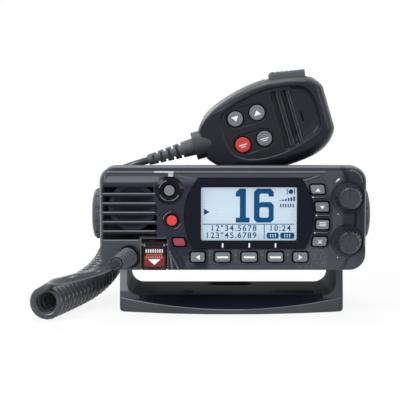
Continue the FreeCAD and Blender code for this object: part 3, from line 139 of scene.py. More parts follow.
def mixed(tree, share, first, second):
    """One shader where the share is 0 and the other where it is 1."""
    return node(tree, "ShaderNodeMixShader",
                {0: share, 1: first.outputs[0], 2: second.outputs[0]}).outputs[0]


def light_the_room():
    """An even white room with four soft lamps."""
    world = bpy.data.worlds.new("white room")
    scene.world = world
    world.use_nodes = True
    tree = world.node_tree
    tree.nodes.clear()
    lit = node(tree, "ShaderNodeBackground", Color=(0.93, 0.96, 1.0, 1.0), Strength=0.38)
    seen = node(tree, "ShaderNodeBackground", Color=WHITE, Strength=1.0)
    node(tree, "ShaderNodeOutputWorld", {0: mixed(tree, seen_directly(tree), lit, seen)})
    for name, (place, target, width, depth, watts) in LAMPS.items():
        lamp = bpy.data.lights.new(name, "AREA")
        lamp.shape, lamp.size, lamp.size_y, lamp.energy = "RECTANGLE", width, depth, watts
        hung = placed(name, lamp)
        hung.location = place
        hung.rotation_euler = (Vector(target) - Vector(place)).to_track_quat("-Z", "Y").to_euler()


def new_finish(name):
    """A new material and its tree, still empty."""
    made = bpy.data.materials.new(name)
    made.use_nodes = True
    made.node_tree.nodes.clear()
    return made, made.node_tree


def lay_floor():
    """A pale floor that keeps the set's shadow near it and fades to plain white further out."""
    mesh = bpy.data.meshes.new("floor")
    h = FLOOR_HALF
    mesh.from_pydata([(-h, -h, 0), (h, -h, 0), (h, h, 0), (-h, h, 0)], [], [(0, 1, 2, 3)])
    floor = placed("floor", mesh)
    paint, tree = new_finish("pale floor")
    place = node(tree, "ShaderNodeTexCoord").outputs["Object"]
    reach = vector_step(tree, "LENGTH", place)
    fade = ramp(tree, reach, *FLOOR_FADE, *FLOOR_WHITE, interpolation_type="SMOOTHSTEP")
    share = reckon(tree, "MULTIPLY", fade, seen_directly(tree))
    matt = node(tree, "ShaderNodeBsdfDiffuse", Color=(0.86, 0.86, 0.87, 1.0))
    white = node(tree, "ShaderNodeEmission", Color=WHITE, Strength=1.0)
    node(tree, "ShaderNodeOutputMaterial", {0: mixed(tree, share, matt, white)})
    mesh.materials.append(paint)


set_camera()
light_the_room()
lay_floor()
scene.view_settings.view_transform = "Standard"


# -------------------- finishes

def finish(name, colour, deep=None, rough=(0.45, 0.6), shine=0.3, grain=0.3, grain_depth=0.02,
           patches=18.0, round_edge=0.0, metal=0.0, clear=1.0, glow=0.0):
    """A moulded or painted finish: a colour that varies a little, a fine grain and uneven gloss.

    grain and grain_depth are the size and height of its grain in millimetres, patches the size
    of the paler and deeper patches, and round_edge the radius that breaks its sharp edges."""
    made, tree = new_finish(name)
    deep = deep or Vector(colour) * PLAIN_DEEP
    cloud = noise(tree, patches, Detail=4.0, Roughness=0.6)
    tint = node(tree, "ShaderNodeMix", {"Factor": cloud}, data_type="RGBA",
                A=(*deep, 1.0), B=(*colour, 1.0))
    fine = noise(tree, grain, Detail=3.0, Roughness=0.55)
    bump = node(tree, "ShaderNodeBump", {"Height": fine}, Strength=1.0, Distance=grain_depth * MM)
    if round_edge:
        edge = node(tree, "ShaderNodeBevel", samples=4, Radius=round_edge * MM)
        tree.links.new(edge.outputs[0], bump.inputs["Normal"])
    skin = node(tree, "ShaderNodeBsdfPrincipled",
                {"Base Color": tint.outputs["Result"], "Normal": bump.outputs[0],
                 "Roughness": ramp(tree, fine, 0.3, 0.7, *rough)},
                Metallic=metal, Alpha=clear, Specular_IOR_Level=shine,
                Emission_Color=(*colour, 1.0), Emission_Strength=glow)
    node(tree, "ShaderNodeOutputMaterial", {0: skin.outputs[0]})
    return made


def past_sides(tree, centre, half):
    """How far each place lies past a box's sides, axis by axis, and below 0 between them."""
    place = node(tree, "ShaderNodeTexCoord").outputs["Object"]
    away = vector_step(tree, "ABSOLUTE", vector_step(tree, "SUBTRACT", place, centre * MM))
    return vector_step(tree, "SUBTRACT", away, half * MM)


def box_mask(tree, low, high, soft):
    """1 inside a box given in millimetres and 0 outside it, with a soft border."""
    low, high = Vector(low), Vector(high)
    past = past_sides(tree, (high + low) / 2, (high - low) / 2)
    axes = node(tree, "ShaderNodeSeparateXYZ", {0: past}).outputs
    flat = reckon(tree, "MAXIMUM", axes["X"], axes["Y"])
    furthest = reckon(tree, "MAXIMUM", flat, axes["Z"])
    return ramp(tree, furthest, -soft * MM / 2, soft * MM / 2, 1.0, 0.0)


def rim_highlight_mask(tree, half_width, half_height, corner, width):
    """1 within a width of the panel's rounded outline and 0 further in."""
    straight = Vector((half_width - corner, BEYOND, half_height - corner))
    past = past_sides(tree, Vector((0, 0, PANEL_Z)), straight)
    reach = vector_step(tree, "LENGTH", vector_step(tree, "MAXIMUM", past))
    return ramp(tree, reach, (corner - width - RIM_SOFT) * MM, (corner - width) * MM)


def upward_mask(tree):
    """1 on surfaces that face up and 0 on upright ones."""
    shape = node(tree, "ShaderNodeNewGeometry")
    axes = node(tree, "ShaderNodeSeparateXYZ", {0: shape.outputs["True Normal"]}).outputs
    return ramp(tree, axes["Z"], 0.55, 0.85)


def paint_over(made, colour, *masks):
    """Paint part of a finish another colour, where all the masks are 1."""
    tree = made.node_tree
    skin = next(item for item in tree.nodes if item.type == "BSDF_PRINCIPLED").inputs["Base Color"]
    share = masks[0]
    for mask in masks[1:]:
        share = reckon(tree, "MULTIPLY", share, mask)
    coat = node(tree, "ShaderNodeMix", {"Factor": share, "A": skin.links[0].from_socket},
                data_type="RGBA", B=(*colour, 1.0))
    tree.links.new(coat.outputs["Result"], skin)


# places in millimetres: the panel's middle and face, the bracket's base and the end of its slope
PANEL_Z = 57.7
FACE_Y = -45.0
BASE_TOP = 9.3
NOSE_Y = -15.0
PANEL_HALF = (75.0, 29.5)
PANEL_CORNER = 9.0
RIM_WIDTH, RIM_SOFT = 0.75, 0.4
SPECK_SIZE = 0.5
BEYOND = 200            # a side of a mask that lies past everything
PLAIN_DEEP = 0.8        # how dark the deeper patches are where a finish doesn't say


def panel_finish():
    """The front panel, with painted shade round the louvres and on other darker zones, and painted
    highlights on the brow, the ridge and the rim.
    """
    made = finish("panel plastic", (0.064, 0.070, 0.082), (0.050, 0.056, 0.067),
                  rough=(0.42, 0.58), shine=0.12, grain=0.28, grain_depth=0.03, round_edge=0.3)
    tree = made.node_tree

    def zone(u0, v0, u1, v1, soft):
        return box_mask(tree, (u0, FACE_Y - 5, PANEL_Z + v0), (u1, FACE_Y + 8, PANEL_Z + v1), soft)

    # left, low, right, high, soft border and colour
    # painted shade on the louvre field, the top bevel, between the keys and the display, the dial
    # area and beside the keypad; painted highlights on the brow, the ridge line and its bright corner
    patches = [(-73.0, -11.2, -41.5, 20.2, 0.5, (0.024, 0.027, 0.038)),
               (-72.0, 20.4, -41.2, 24.7, 0.4, (0.120, 0.126, 0.140)),
               (-71.0, 26.9, 66.0, 30.0, 0.5, (0.030, 0.033, 0.045)),
               (-71.0, 26.0, 52.0, 26.6, 0.2, (0.150, 0.156, 0.172)),
               (-44.2, 25.8, -33.4, 26.6, 0.2, (0.50, 0.50, 0.50)),
               (-36.3, 23.4, -33.4, 26.0, 0.3, (0.42, 0.42, 0.42)),
               (-44.5, -30.0, -14.0, 20.0, 2.5, (0.020, 0.022, 0.034)),
               (61.5, -19.0, 80.0, 27.0, 2.5, (0.024, 0.027, 0.037)),
               (44.0, -14.5, 55.5, 12.5, 1.5, (0.030, 0.033, 0.043))]
    for *sides, soft, colour in patches:
        paint_over(made, colour, zone(*sides, soft))
    specks = ramp(tree, noise(tree, SPECK_SIZE, Detail=2.0), 0.5, 0.62)
    for sides in ((36, -28, 53, -17), (-27, -28, -22, -22)):
        paint_over(made, (0.125, 0.13, 0.14), zone(*sides, 2.0), specks)
    # a painted highlight along the rounded rim of the face
    front = box_mask(tree, (-80, FACE_Y - 1, PANEL_Z - 16), (80, FACE_Y + 2.2, PANEL_Z + 40), 0.6)
    rim = rim_highlight_mask(tree, *PANEL_HALF, PANEL_CORNER, RIM_WIDTH)
    paint_over(made, (0.155, 0.162, 0.175), rim, front)
    return made


def bracket_finish():
    """The bracket, with painted shade on the plate under the case and darkest behind its lip, and a
    painted highlight low on the left arm.
    """
    made = finish("bracket plastic", (0.085, 0.093, 0.103), (0.066, 0.073, 0.083),
                  rough=(0.7, 0.85), shine=0.1, grain=0.45, grain_depth=0.05, round_edge=0.35)
    tree = made.node_tree
    plate = box_mask(tree, (-60, NOSE_Y, BASE_TOP - 1), (60, 40, BASE_TOP + 2), 2.0)
    slope = box_mask(tree, (-65.2, -40, 0), (65.2, NOSE_Y, BASE_TOP + 2), 0.6)
    middle = box_mask(tree, (-56, -BEYOND, -BEYOND), (56, BEYOND, BEYOND), 14.0)
    left_arm = box_mask(tree, (-70, -30, 12), (-61, 30, 90), 1.0)
    low_part = box_mask(tree, (-BEYOND, -BEYOND, -BEYOND), (BEYOND, BEYOND, 34), 22.0)
    # painted highlight: the left arm paler towards its foot
    paint_over(made, (0.205, 0.220, 0.232), left_arm, low_part)
    # painted shade: the up-facing plate under the case darker, the slope behind the lip darkest
    paint_over(made, (0.016, 0.019, 0.027), upward_mask(tree), plate)
    paint_over(made, (0.012, 0.012, 0.026), upward_mask(tree), slope, middle)
    return made


HOUSING = finish("housing plastic", (0.052, 0.058, 0.068), (0.040, 0.045, 0.055), rough=(0.42, 0.58),
                 shine=0.35, grain=0.28, grain_depth=0.03, round_edge=0.3)
CAST = finish("painted die-cast case", (0.024, 0.026, 0.031), rough=(0.38, 0.5), shine=0.25,
              grain=0.5, round_edge=0.2)
SEAL = finish("seal rubber", (0.010, 0.010, 0.013), rough=(0.7, 0.85), shine=0.1)
GLOSS = finish("black gloss", (0.006, 0.006, 0.014), (0.004, 0.004, 0.011), rough=(0.10, 0.16),
               shine=0.1, grain=2.0, grain_depth=0.002, round_edge=0.15)
COLLAR = finish("gloss ring", (0.008, 0.008, 0.013), (0.006, 0.006, 0.010), rough=(0.12, 0.2),
                shine=0.1, grain=2.0, grain_depth=0.002, round_edge=0.2)
TRIM = finish("dark trim", (0.009, 0.010, 0.015), rough=(0.4, 0.55), shine=0.15, round_edge=0.2)
DEEP = finish("speaker cone", (0.034, 0.037, 0.050), rough=(0.7, 0.85), shine=0.05)
KNOB = finish("knob rubber", (0.024, 0.029, 0.037), (0.018, 0.022, 0.030), rough=(0.24, 0.36),
              shine=0.42, round_edge=0.4)
WING = finish("gimbal knob plastic", (0.066, 0.073, 0.082), (0.050, 0.057, 0.064), rough=(0.35, 0.5),
              round_edge=0.3)
MIC = finish("microphone plastic", (0.012, 0.014, 0.021), (0.008, 0.009, 0.015), rough=(0.26, 0.42),
             shine=0.22, grain=0.35, grain_depth=0.03, round_edge=0.35)
# painted highlight: the microphone's up-facing surfaces paler, as lit from above
paint_over(MIC, (0.062, 0.071, 0.074), upward_mask(MIC.node_tree))
SLEEVE = finish("microphone collar", (0.046, 0.052, 0.058), (0.036, 0.041, 0.047), rough=(0.3, 0.45),
                round_edge=0.3)
# painted highlight: the seam seal pale where its edge catches the light
SEAM = finish("microphone seam", (0.16, 0.17, 0.18), rough=(0.4, 0.5))
BOOT = finish("moulded boot", (0.085, 0.094, 0.106), (0.066, 0.074, 0.085), rough=(0.35, 0.48),
              round_edge=0.2)
TALK = finish("talk bar rubber", (0.074, 0.088, 0.098), shine=0.25, round_edge=0.3)
GREY_KEY = finish("grey keys", (0.165, 0.185, 0.205), rough=(0.45, 0.55), round_edge=0.3)
RED_KEY = finish("red keys", (0.61, 0.052, 0.047), (0.56, 0.043, 0.041), rough=(0.35, 0.45),
                 round_edge=0.3)
PINK_KEY = finish("pink key", (0.30, 0.050, 0.080), rough=(0.45, 0.55), round_edge=0.3)
COVER = finish("smoked red cover", (0.016, 0.006, 0.005), (0.010, 0.004, 0.004), rough=(0.12, 0.2),
               shine=0.15, grain=1.2, grain_depth=0.004, round_edge=0.2)
JACKET = finish("cord jacket", (0.044, 0.050, 0.060), (0.033, 0.039, 0.049), rough=(0.15, 0.23),
                shine=0.42, grain=0.25, grain_depth=0.01)
STEEL = finish("steel", (0.55, 0.55, 0.56), rough=(0.3, 0.4), shine=0.5, metal=1.0)
NICKEL = finish("nickel plating", (0.72, 0.69, 0.63), rough=(0.22, 0.3), shine=0.5, metal=1.0)
BOARD = finish("circuit board", (0.012, 0.075, 0.030), rough=(0.35, 0.5))
SCREEN = finish("lit display", (0.60, 0.70, 0.77), (0.585, 0.69, 0.76), rough=(0.5, 0.6), shine=0.1,
                glow=0.32)
PANE = finish("clear pane", (0.03, 0.035, 0.04), rough=(0.03, 0.05), shine=0.15, grain=3.0,
              grain_depth=0.001, clear=0.04)
INK = finish("display ink", (0.002, 0.062, 0.165), (0.002, 0.058, 0.155), rough=(0.5, 0.6), shine=0.1,
             glow=0.1)
WHITE_MARK = finish("white marks", (0.86, 0.82, 0.80), (0.80, 0.77, 0.76), rough=(0.4, 0.5),
                    shine=0.2)
ROSE_MARK = finish("rose marks", (0.52, 0.20, 0.20), rough=(0.4, 0.5), shine=0.2)
ORANGE_MARK = finish("orange mark", (0.36, 0.085, 0.035), rough=(0.3, 0.4))
RED_MARK = finish("deep red mark", (0.20, 0.016, 0.012), (0.15, 0.012, 0.010), rough=(0.2, 0.3),
                  patches=4.0)
BROWN_MARK = finish("brown tab", (0.045, 0.014, 0.012), (0.030, 0.010, 0.009), rough=(0.2, 0.3))
# pale colours for edges, beads and ribs that catch the light: painted highlights
BEAD = finish("pale bead", (0.30, 0.31, 0.32), rough=(0.3, 0.4))
PALE = finish("pale edge", (0.20, 0.21, 0.23), rough=(0.4, 0.5))
RIB = finish("sound rib", (0.050, 0.053, 0.064), rough=(0.3, 0.4))
EDGE = finish("lit edge", (0.115, 0.122, 0.135), rough=(0.4, 0.5))

SLOT_FINISHES = {
    "housing": HOUSING, "cast_case": CAST, "bracket_plastic": bracket_finish(), "seal_rubber": SEAL,
    "gloss_black": GLOSS, "clear_window": PANE, "screen": SCREEN, "circuit_board": BOARD,
    "dark_trim": TRIM, "knob_rubber": KNOB, "steel": STEEL, "nickel": NICKEL, "grey_keys": GREY_KEY,
    "red_keys": RED_KEY, "pink_keys": PINK_KEY, "red_cover": COVER, "cord_jacket": JACKET,
}
NODE_FINISHES = {
    "front_panel": panel_finish(), "scan_key_collar": COLLAR, "speaker": DEEP, "keypad_mat": DEEP,
    "mic_rear_shell": MIC, "mic_seam_seal": SEAM, "mic_collar": SLEEVE, "ptt_button": TALK,
    "left_gimbal_knob": WING, "right_gimbal_knob": WING, "cord_strain_relief": BOOT,
    "mic_strain_relief": BOOT,
}

for name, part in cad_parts.items():
    for carried in part.material_slots:
        plain = SLOT_FINISHES[carried.material.name.split(".")[0]]
        carried.material = NODE_FINISHES.get(name, plain)


# -------------------- node trees that make geometry

def growing_tree(name, sizes):
    """A new geometry tree with its named sizes and a finish as inputs, and its two end nodes."""
    tree = bpy.data.node_groups.new(name, "GeometryNodeTree")
    tree.interface.new_socket("Geometry", in_out="INPUT", socket_type="NodeSocketGeometry")
    for size in sizes:
        tree.interface.new_socket(size, in_out="INPUT", socket_type="NodeSocketFloat")
    tree.interface.new_socket("Finish", in_out="INPUT", socket_type="NodeSocketMaterial")
    tree.interface.new_socket("Geometry", in_out="OUTPUT", socket_type="NodeSocketGeometry")
    return tree, node(tree, "NodeGroupInput"), node(tree, "NodeGroupOutput")


def end_tree(tree, given, made, out):
    """Realize Instances, Set Material and the output."""
    real = node(tree, "GeometryNodeRealizeInstances", {0: made})
    paint = node(tree, "GeometryNodeSetMaterial",
                 {"Geometry": real.outputs[0], "Material": given.outputs["Finish"]})
    tree.links.new(paint.outputs[0], out.inputs[0])


def cord_tree():
    """A round jacket of a given radius along a line of edges."""
    tree, given, out = growing_tree("jacket along a line", ["Radius"])
    line = node(tree, "GeometryNodeMeshToCurve", {"Mesh": given.outputs["Geometry"]})
    ring = node(tree, "GeometryNodeCurvePrimitiveCircle", {"Radius": given.outputs["Radius"]},
                Resolution=14)
    tube = node(tree, "GeometryNodeCurveToMesh",
                {"Curve": line.outputs[0], "Profile Curve": ring.outputs[0]}, Fill_Caps=True)
    smooth = node(tree, "GeometryNodeSetShadeSmooth", {"Geometry": tube.outputs[0]})
    end_tree(tree, given, smooth.outputs[0], out)
    return tree


def bar_tree():
    """A bar of a given width, height and depth, set on each point and square to the line."""
    tree, given, out = growing_tree("bars on points", ["Width", "Height", "Depth"])
    size = node(tree, "ShaderNodeCombineXYZ",
                {"X": given.outputs["Width"], "Y": given.outputs["Depth"],
                 "Z": given.outputs["Height"]})
    bar = node(tree, "GeometryNodeMeshCube", {"Size": size.outputs[0]})
    points = node(tree, "GeometryNodeInstanceOnPoints",
                  {"Points": given.outputs["Geometry"], "Instance": bar.outputs["Mesh"]})
    end_tree(tree, given, points.outputs[0], out)
    return tree


CORD_TREE = cord_tree()
BAR_TREE = bar_tree()


def line_object(name, points):
    """A mesh of bare edges from point to point."""
    mesh = bpy.data.meshes.new(name)
    mesh.from_pydata(points, [(i, i + 1) for i in range(len(points) - 1)], [])
    return placed(name, mesh)


def plain_mesh(made):
    """The mesh that an object's curve, lettering or node tree comes out as."""
    seen = made.evaluated_get(bpy.context.evaluated_depsgraph_get())
    return bpy.data.meshes.new_from_object(seen)


def grow(made, tree, skin, **sizes):
    """Run a tree on an object and keep what it makes as the object's plain mesh."""
    run = made.modifiers.new(tree.name, "NODES")
    run.node_group = tree
    given = {"Finish": skin, **{name: float(size) for name, size in sizes.items()}}
    for item in tree.interface.items_tree:
        if item.in_out == "INPUT" and item.name in given:
            run[item.identifier] = given[item.name]
    mesh = plain_mesh(made)
    made.modifiers.clear()
    made.data = mesh
    return made


def tube(name, route, skin, radius, body):
    """A thin round line along a route, its radius in millimetres."""
    made = grow(line_object(name, route), CORD_TREE, skin, Radius=radius * MM)
    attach(made, body)


def bars(name, places, width, height, depth, skin, body, lean=0.0):
    """Equal bars centred on places given in millimetres, turned by an angle in the panel's plane."""
    turn = Matrix.Rotation(-lean, 3, "Y")
    level = [turn.inverted() @ (Vector(place) * MM) for place in places]
    made = grow(line_object(name, level), BAR_TREE, skin, Width=width * MM, Height=height * MM,
                Depth=depth * MM)
    made.data.transform(turn.to_4x4())
    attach(made, body)


# -------------------- the microphone's cord

CORD_D = 4.3 * MM
WIND_R = 7.55 * MM
WIND_PITCH_FRONT = 5.7 * MM
WIND_PITCH_BACK = 4.5 * MM
WIND_STEPS = 18
WIND_START = math.radians(-70)


def millimetres(*places):
    """Places given in millimetres, in metres."""
    return [Vector(place) * MM for place in places]


def smooth_line(points, steps):
    """The points along the smooth line that a route's points steer, read from its own spline."""
    curve = bpy.data.curves.new("route", "CURVE")
    curve.dimensions, curve.resolution_u = "3D", steps
    spline = curve.splines.new("NURBS")
    spline.points.add(len(points) - 1)
    for knot, place in zip(spline.points, points):
        knot.co = (*place, 1.0)
    spline.order_u, spline.use_endpoint_u = 3, True
    route = placed("route", curve)
    shape = plain_mesh(route)
    line = [v.co.copy() for v in shape.vertices]
    bpy.data.objects.remove(route)
    bpy.data.meshes.remove(shape)
    return line


def length_of(line):
    return sum((b - a).length for a, b in zip(line, line[1:]))


def place_along(line, reach):
    """The point and direction of travel at a distance along a line."""
    for a, b in zip(line, line[1:]):
        step = (b - a).length
        if reach <= step:
            return a + (b - a) * (reach / step), (b - a).normalized()
        reach -= step
    return line[-1].copy(), (line[-1] - line[-2]).normalized()


def wind_coil(axis_line):
    """The cord's centre line wound round the coil's axis, open in front and close at the back."""
    total = length_of(axis_line)
    line = []
    reach, turn = 0.0, WIND_START
    left = Z_AXIS.cross(axis_line[1] - axis_line[0])
    while reach < total:
        centre, ahead = place_along(axis_line, reach)
        left = (left - ahead * left.dot(ahead)).normalized()
        down = left.cross(ahead)
        line.append(centre + (left * math.cos(turn) + down * math.sin(turn)) * WIND_R)
        share = reach / total
        pitch = WIND_PITCH_FRONT + (WIND_PITCH_BACK - WIND_PITCH_FRONT) * share
        turn += 2 * math.pi / WIND_STEPS
        reach += pitch / WIND_STEPS
    return line


RELIEF_LENGTH = 18.0
RELIEF_START = Vector((-58.1, -43.5, 36.2)) * MM
RELIEF_AXIS = Vector((-6.0, -16.0, -1.7)).normalized()
LEAD_START = RELIEF_START + RELIEF_AXIS * RELIEF_LENGTH * MM
LEAD_POINTS = millimetres((-77.5, -79.0, 31.4), (-90.5, -78.0, 28.2), (-99.0, -66.0, 24.6))
COIL_POINTS = millimetres((-105.5, -50.0, 10.3), (-97.0, -20.0, 9.9), (-85.5, 8.0, 12.4),
                          (-77.5, 36.0, 18.6), (-71.8, 56.5, 33.0), (-71.0, 61.0, 49.5),
                          (-70.5, 59.0, 62.5))
TAIL_POINTS = millimetres((-69.6, 46.6, 76.2), (-69.3, 39.2, 79.5), (-69.2, 27.8, 80.5),
                          (-69.9, 16.0, 80.2), (-69.0, 4.6, 81.5))
MIC_TILT = math.radians(16.5)
MIC_ORIGIN = Vector((-22.0, -4.0, 96.59)) * MM
MIC_ALONG = Vector((math.cos(MIC_TILT), 0, math.sin(MIC_TILT)))
MIC_ACROSS = Vector((-math.sin(MIC_TILT), 0, math.cos(MIC_TILT)))
ROUTE_STEPS = 12
# how far the cord runs straight: out of its relief, into the coil, out of it, into the microphone
OUT_OF_RELIEF, INTO_COIL, OUT_OF_COIL, INTO_MICROPHONE = 11, 9, 7, 12


def tail_end():
    """Where the cord goes into the microphone's strain relief, read from the relief itself."""
    low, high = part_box("mic_strain_relief")
    far = min((v.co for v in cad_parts["mic_strain_relief"].data.vertices),
              key=lambda co: co.dot(MIC_ALONG))
    height = MIC_ORIGIN + MIC_ALONG * ((far - MIC_ORIGIN).dot(MIC_ALONG))
    return Vector((height.x, (low.y + high.y) / 2, height.z))


def make_cords():
    """The lead and its coil in one piece, and the tail from the coil to the microphone."""
    wound = wind_coil(smooth_line(COIL_POINTS, ROUTE_STEPS))
    arrive = (wound[1] - wound[0]).normalized()
    lead = smooth_line([LEAD_START, LEAD_START + RELIEF_AXIS * OUT_OF_RELIEF * MM, *LEAD_POINTS,
                        wound[0] - arrive * INTO_COIL * MM, wound[0]], ROUTE_STEPS)
    near = lead[:-1] + wound
    leave = (wound[-1] - wound[-2]).normalized()
    end = tail_end()
    tail = smooth_line([wound[-1], wound[-1] + leave * OUT_OF_COIL * MM, *TAIL_POINTS,
                        end - MIC_ALONG * INTO_MICROPHONE * MM, end], ROUTE_STEPS)
    first = grow(line_object("cord_from_radio", near), CORD_TREE, JACKET, Radius=CORD_D / 2)
    second = grow(line_object("cord_to_microphone", tail), CORD_TREE, JACKET, Radius=CORD_D / 2)
    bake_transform(first)
    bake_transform(second)
    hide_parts("cord_lead", "cord_coil")
    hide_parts("cord_tail")


make_cords()


# -------------------- flat marks

KEY_TOP_Y = -46.3
SURROUND_Y = -45.3
GLYPH_Y = -43.43
MARK_LIFT = 0.02


def on_face(u, v, y=FACE_Y):
    """A point of the panel in millimetres: u right and v up from its centre."""
    return Vector((u, y, PANEL_Z + v)) * MM


def on_microphone(s, t, y):
    """A point of the microphone in millimetres: s along it, t across it, y as in the room."""
    place = MIC_ORIGIN + MIC_ALONG * (s * MM) + MIC_ACROSS * (t * MM)
    return Vector((place.x, y * MM, place.z))


def flat_mark(name, loops, skin, body, place):
    """A thin flat mark filled between closed loops of (u, v) corners, facing the user; most are
    print, the panel's pale strips are painted highlights.
    """
    mesh = bpy.data.meshes.new(name)
    shape = bmesh.new()
    edges = []
    for loop in loops:
        corners = [shape.verts.new(place(u, v)) for u, v in loop]
        edges += [shape.edges.new((a, b)) for a, b in zip(corners, corners[1:] + corners[:1])]
    bmesh.ops.triangle_fill(shape, use_beauty=True, use_dissolve=False, edges=edges)
    for face in shape.faces:
        face.normal_update()
        if face.normal.y > 0:
            face.normal_flip()
    shape.to_mesh(mesh)
    shape.free()
    mesh.materials.append(skin)
    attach(placed(name, mesh), body)


def just_over(y, layers=1):
    """Where a mark's (u, v) corners go on the panel, a hair in front of depth y."""
    return lambda u, v: on_face(u, v, y - layers * MARK_LIFT)


def box_loop(u0, u1, v0, v1):
    return [(u0, v0), (u1, v0), (u1, v1), (u0, v1)]


def dot_loop(u, v, half_width, half_height, sides):
    """A round or oval dot."""
    turns = [i * 2 * math.pi / sides for i in range(sides)]
    return [(u + half_width * math.cos(a), v + half_height * math.sin(a)) for a in turns]


def round_loop(u0, u1, v0, v1, radius):
    """A box with round corners."""
    loop = []
    for cu, cv, start in ((u1 - radius, v1 - radius, 0), (u0 + radius, v1 - radius, 90),
                          (u0 + radius, v0 + radius, 180), (u1 - radius, v0 + radius, 270)):
        for step in range(5):
            angle = math.radians(start + step * 22.5)
            loop.append((cu + radius * math.cos(angle), cv + radius * math.sin(angle)))
    return loop


def pointer(u, v, width, height, side):
    """A triangle with its point up, down, left or right."""
    w, h = width / 2, height / 2
    turns = {"up": [(-w, -h), (w, -h), (0, h)], "down": [(-w, h), (0, -h), (w, h)],
             "left": [(w, -h), (w, h), (-w, 0)], "right": [(-w, -h), (w, 0), (-w, h)]}
    return [(u + a, v + b) for a, b in turns[side]]


# -------------------- the microphone's front shell

SHELL_RAYS, SHELL_RINGS, SHELL_INNER_RINGS = 520, 150, 10
SHELL_CENTRE = np.array((44.0, 0.0))
SHELL_HEIGHT, SHELL_SHOULDER, SHELL_WALL, SHELL_RIM, SHELL_CEILING = 11.0, 6.0, 1.2, 0.6, 4.8
NECK_START, NECK_END, NECK_HEIGHT = 3.0, 22.0, 6.5
TALK_SLOT_HEIGHT, TALK_SLOT_INSET = 6.4, 0.95
MIC_SEAM_Y = -4.0
NEAR_COLUMN, FAR_COLUMN, HIGH_ROW, LOW_ROW = 27.9, 41.1, 8.9, -6.9
MIC_KEYS = {"mic_down_key": (NEAR_COLUMN, HIGH_ROW), "mic_up_key": (FAR_COLUMN, HIGH_ROW),
            "mic_red_key": (NEAR_COLUMN, LOW_ROW), "mic_grey_key": (FAR_COLUMN, LOW_ROW)}
MIC_SUNK_PANEL = [(19.2, 13.6), (27, 16.6), (35.2, 18.8), (47.5, 20.8), (56, 20.4), (66, 18.5),
                  (73.6, 15.2), (76.3, 7.1), (76.3, -4), (75, -10.6), (70, -13.8), (61, -16.4),
                  (52, -18.6), (39.7, -19), (31, -17.5), (25.3, -15.1), (20, -10.7), (18, -3),
                  (18, 4.6)]
# each hollow across the panel: from and to along the microphone, lower and upper end, depth, wall
MIC_HOLLOWS = [(51.2, 54.5, -17, 18, 1.8, 0.6), (57.4, 60.5, -16, 17, 1.8, 0.6),
               (62.7, 90.0, -30, 30, 1.2, 1.2), (65.4, 66.6, -4, 2, 1.6, 0.25)]
FAR_BOWL_START, FAR_BOWL_RUN, FAR_BOWL_WALL, FAR_BOWL_DEPTH = 48.0, 12, 8.0, 1.6
PANEL_STEP, PANEL_STEP_RUN = 0.9, 0.8
WELL_RADIUS, WELL_DEPTH, WELL_RUN = 6.1, 0.5, 0.35
KEY_HOLE_RADIUS, KEY_HOLE_HEIGHT, KEY_HOLE_RUN = 4.98, 5.4, 0.2
SHOULDER_CURVE = 2.2
SHELL_FACE_WALL = 2.4
TALK_SLOT_GAP = 0.5
HUGE, TINY = 1e9, 1e-9


def along_and_across(part):
    """A part's corners in the microphone's own millimetres, along it and across it."""
    corners = [(v.co - MIC_ORIGIN) / MM for v in part.data.vertices]
    return np.array([(c.dot(MIC_ALONG), c.dot(MIC_ACROSS)) for c in corners])


def shell_outline():
    """The microphone's outline as a closed loop, read from its front shell."""
    corners = np.unique(along_and_across(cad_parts["mic_front_shell"]).round(3), axis=0)
    return corners[convex_hull_2d(corners.tolist())]


def sides_of(loop):
    """The straight sides of a closed loop, each as its two ends."""
    return zip(loop, np.roll(loop, -1, axis=0))


def edge_distance(points, loop):
    """How far each point is from a closed loop of straight sides."""
    best = np.full(len(points), HUGE)
    for a, b in sides_of(loop):
        side = b - a
        share = np.clip((points - a) @ side / (side @ side), 0.0, 1.0)
        best = np.minimum(best, np.linalg.norm(points - a - share[:, None] * side, axis=1))
    return best


def rounded(loop, passes=3):
    """A closed loop with its corners cut back again and again, until they are round."""
    loop = np.array(loop, float)
    for _ in range(passes):
        ahead = np.roll(loop, -1, axis=0)
        cuts = [loop * 0.75 + ahead * 0.25, loop * 0.25 + ahead * 0.75]
        loop = np.stack(cuts, axis=1).reshape(-1, 2)
    return loop


def within(points, loop):
    """Whether each point is inside a closed loop of straight sides."""
    inside = np.zeros(len(points), bool)
    for a, b in sides_of(loop):
        spans = (a[1] > points[:, 1]) != (b[1] > points[:, 1])
        rise = b[1] - a[1] or TINY
        inside ^= spans & (points[:, 0] < a[0] + (points[:, 1] - a[1]) * (b[0] - a[0]) / rise)
    return inside


def eased(value):
    """0 below 0, 1 above 1 and a smooth rise between."""
    value = np.clip(value, 0.0, 1.0)
    return value * value * (3 - 2 * value)


def shoulder(inset):
    """Height of the shell's rounded edge at a distance in from its outline."""
    away = np.clip(1 - inset / SHELL_SHOULDER, 0.0, 1.0)
    return SHELL_HEIGHT * (1 - away ** SHOULDER_CURVE) ** (1 / SHOULDER_CURVE)


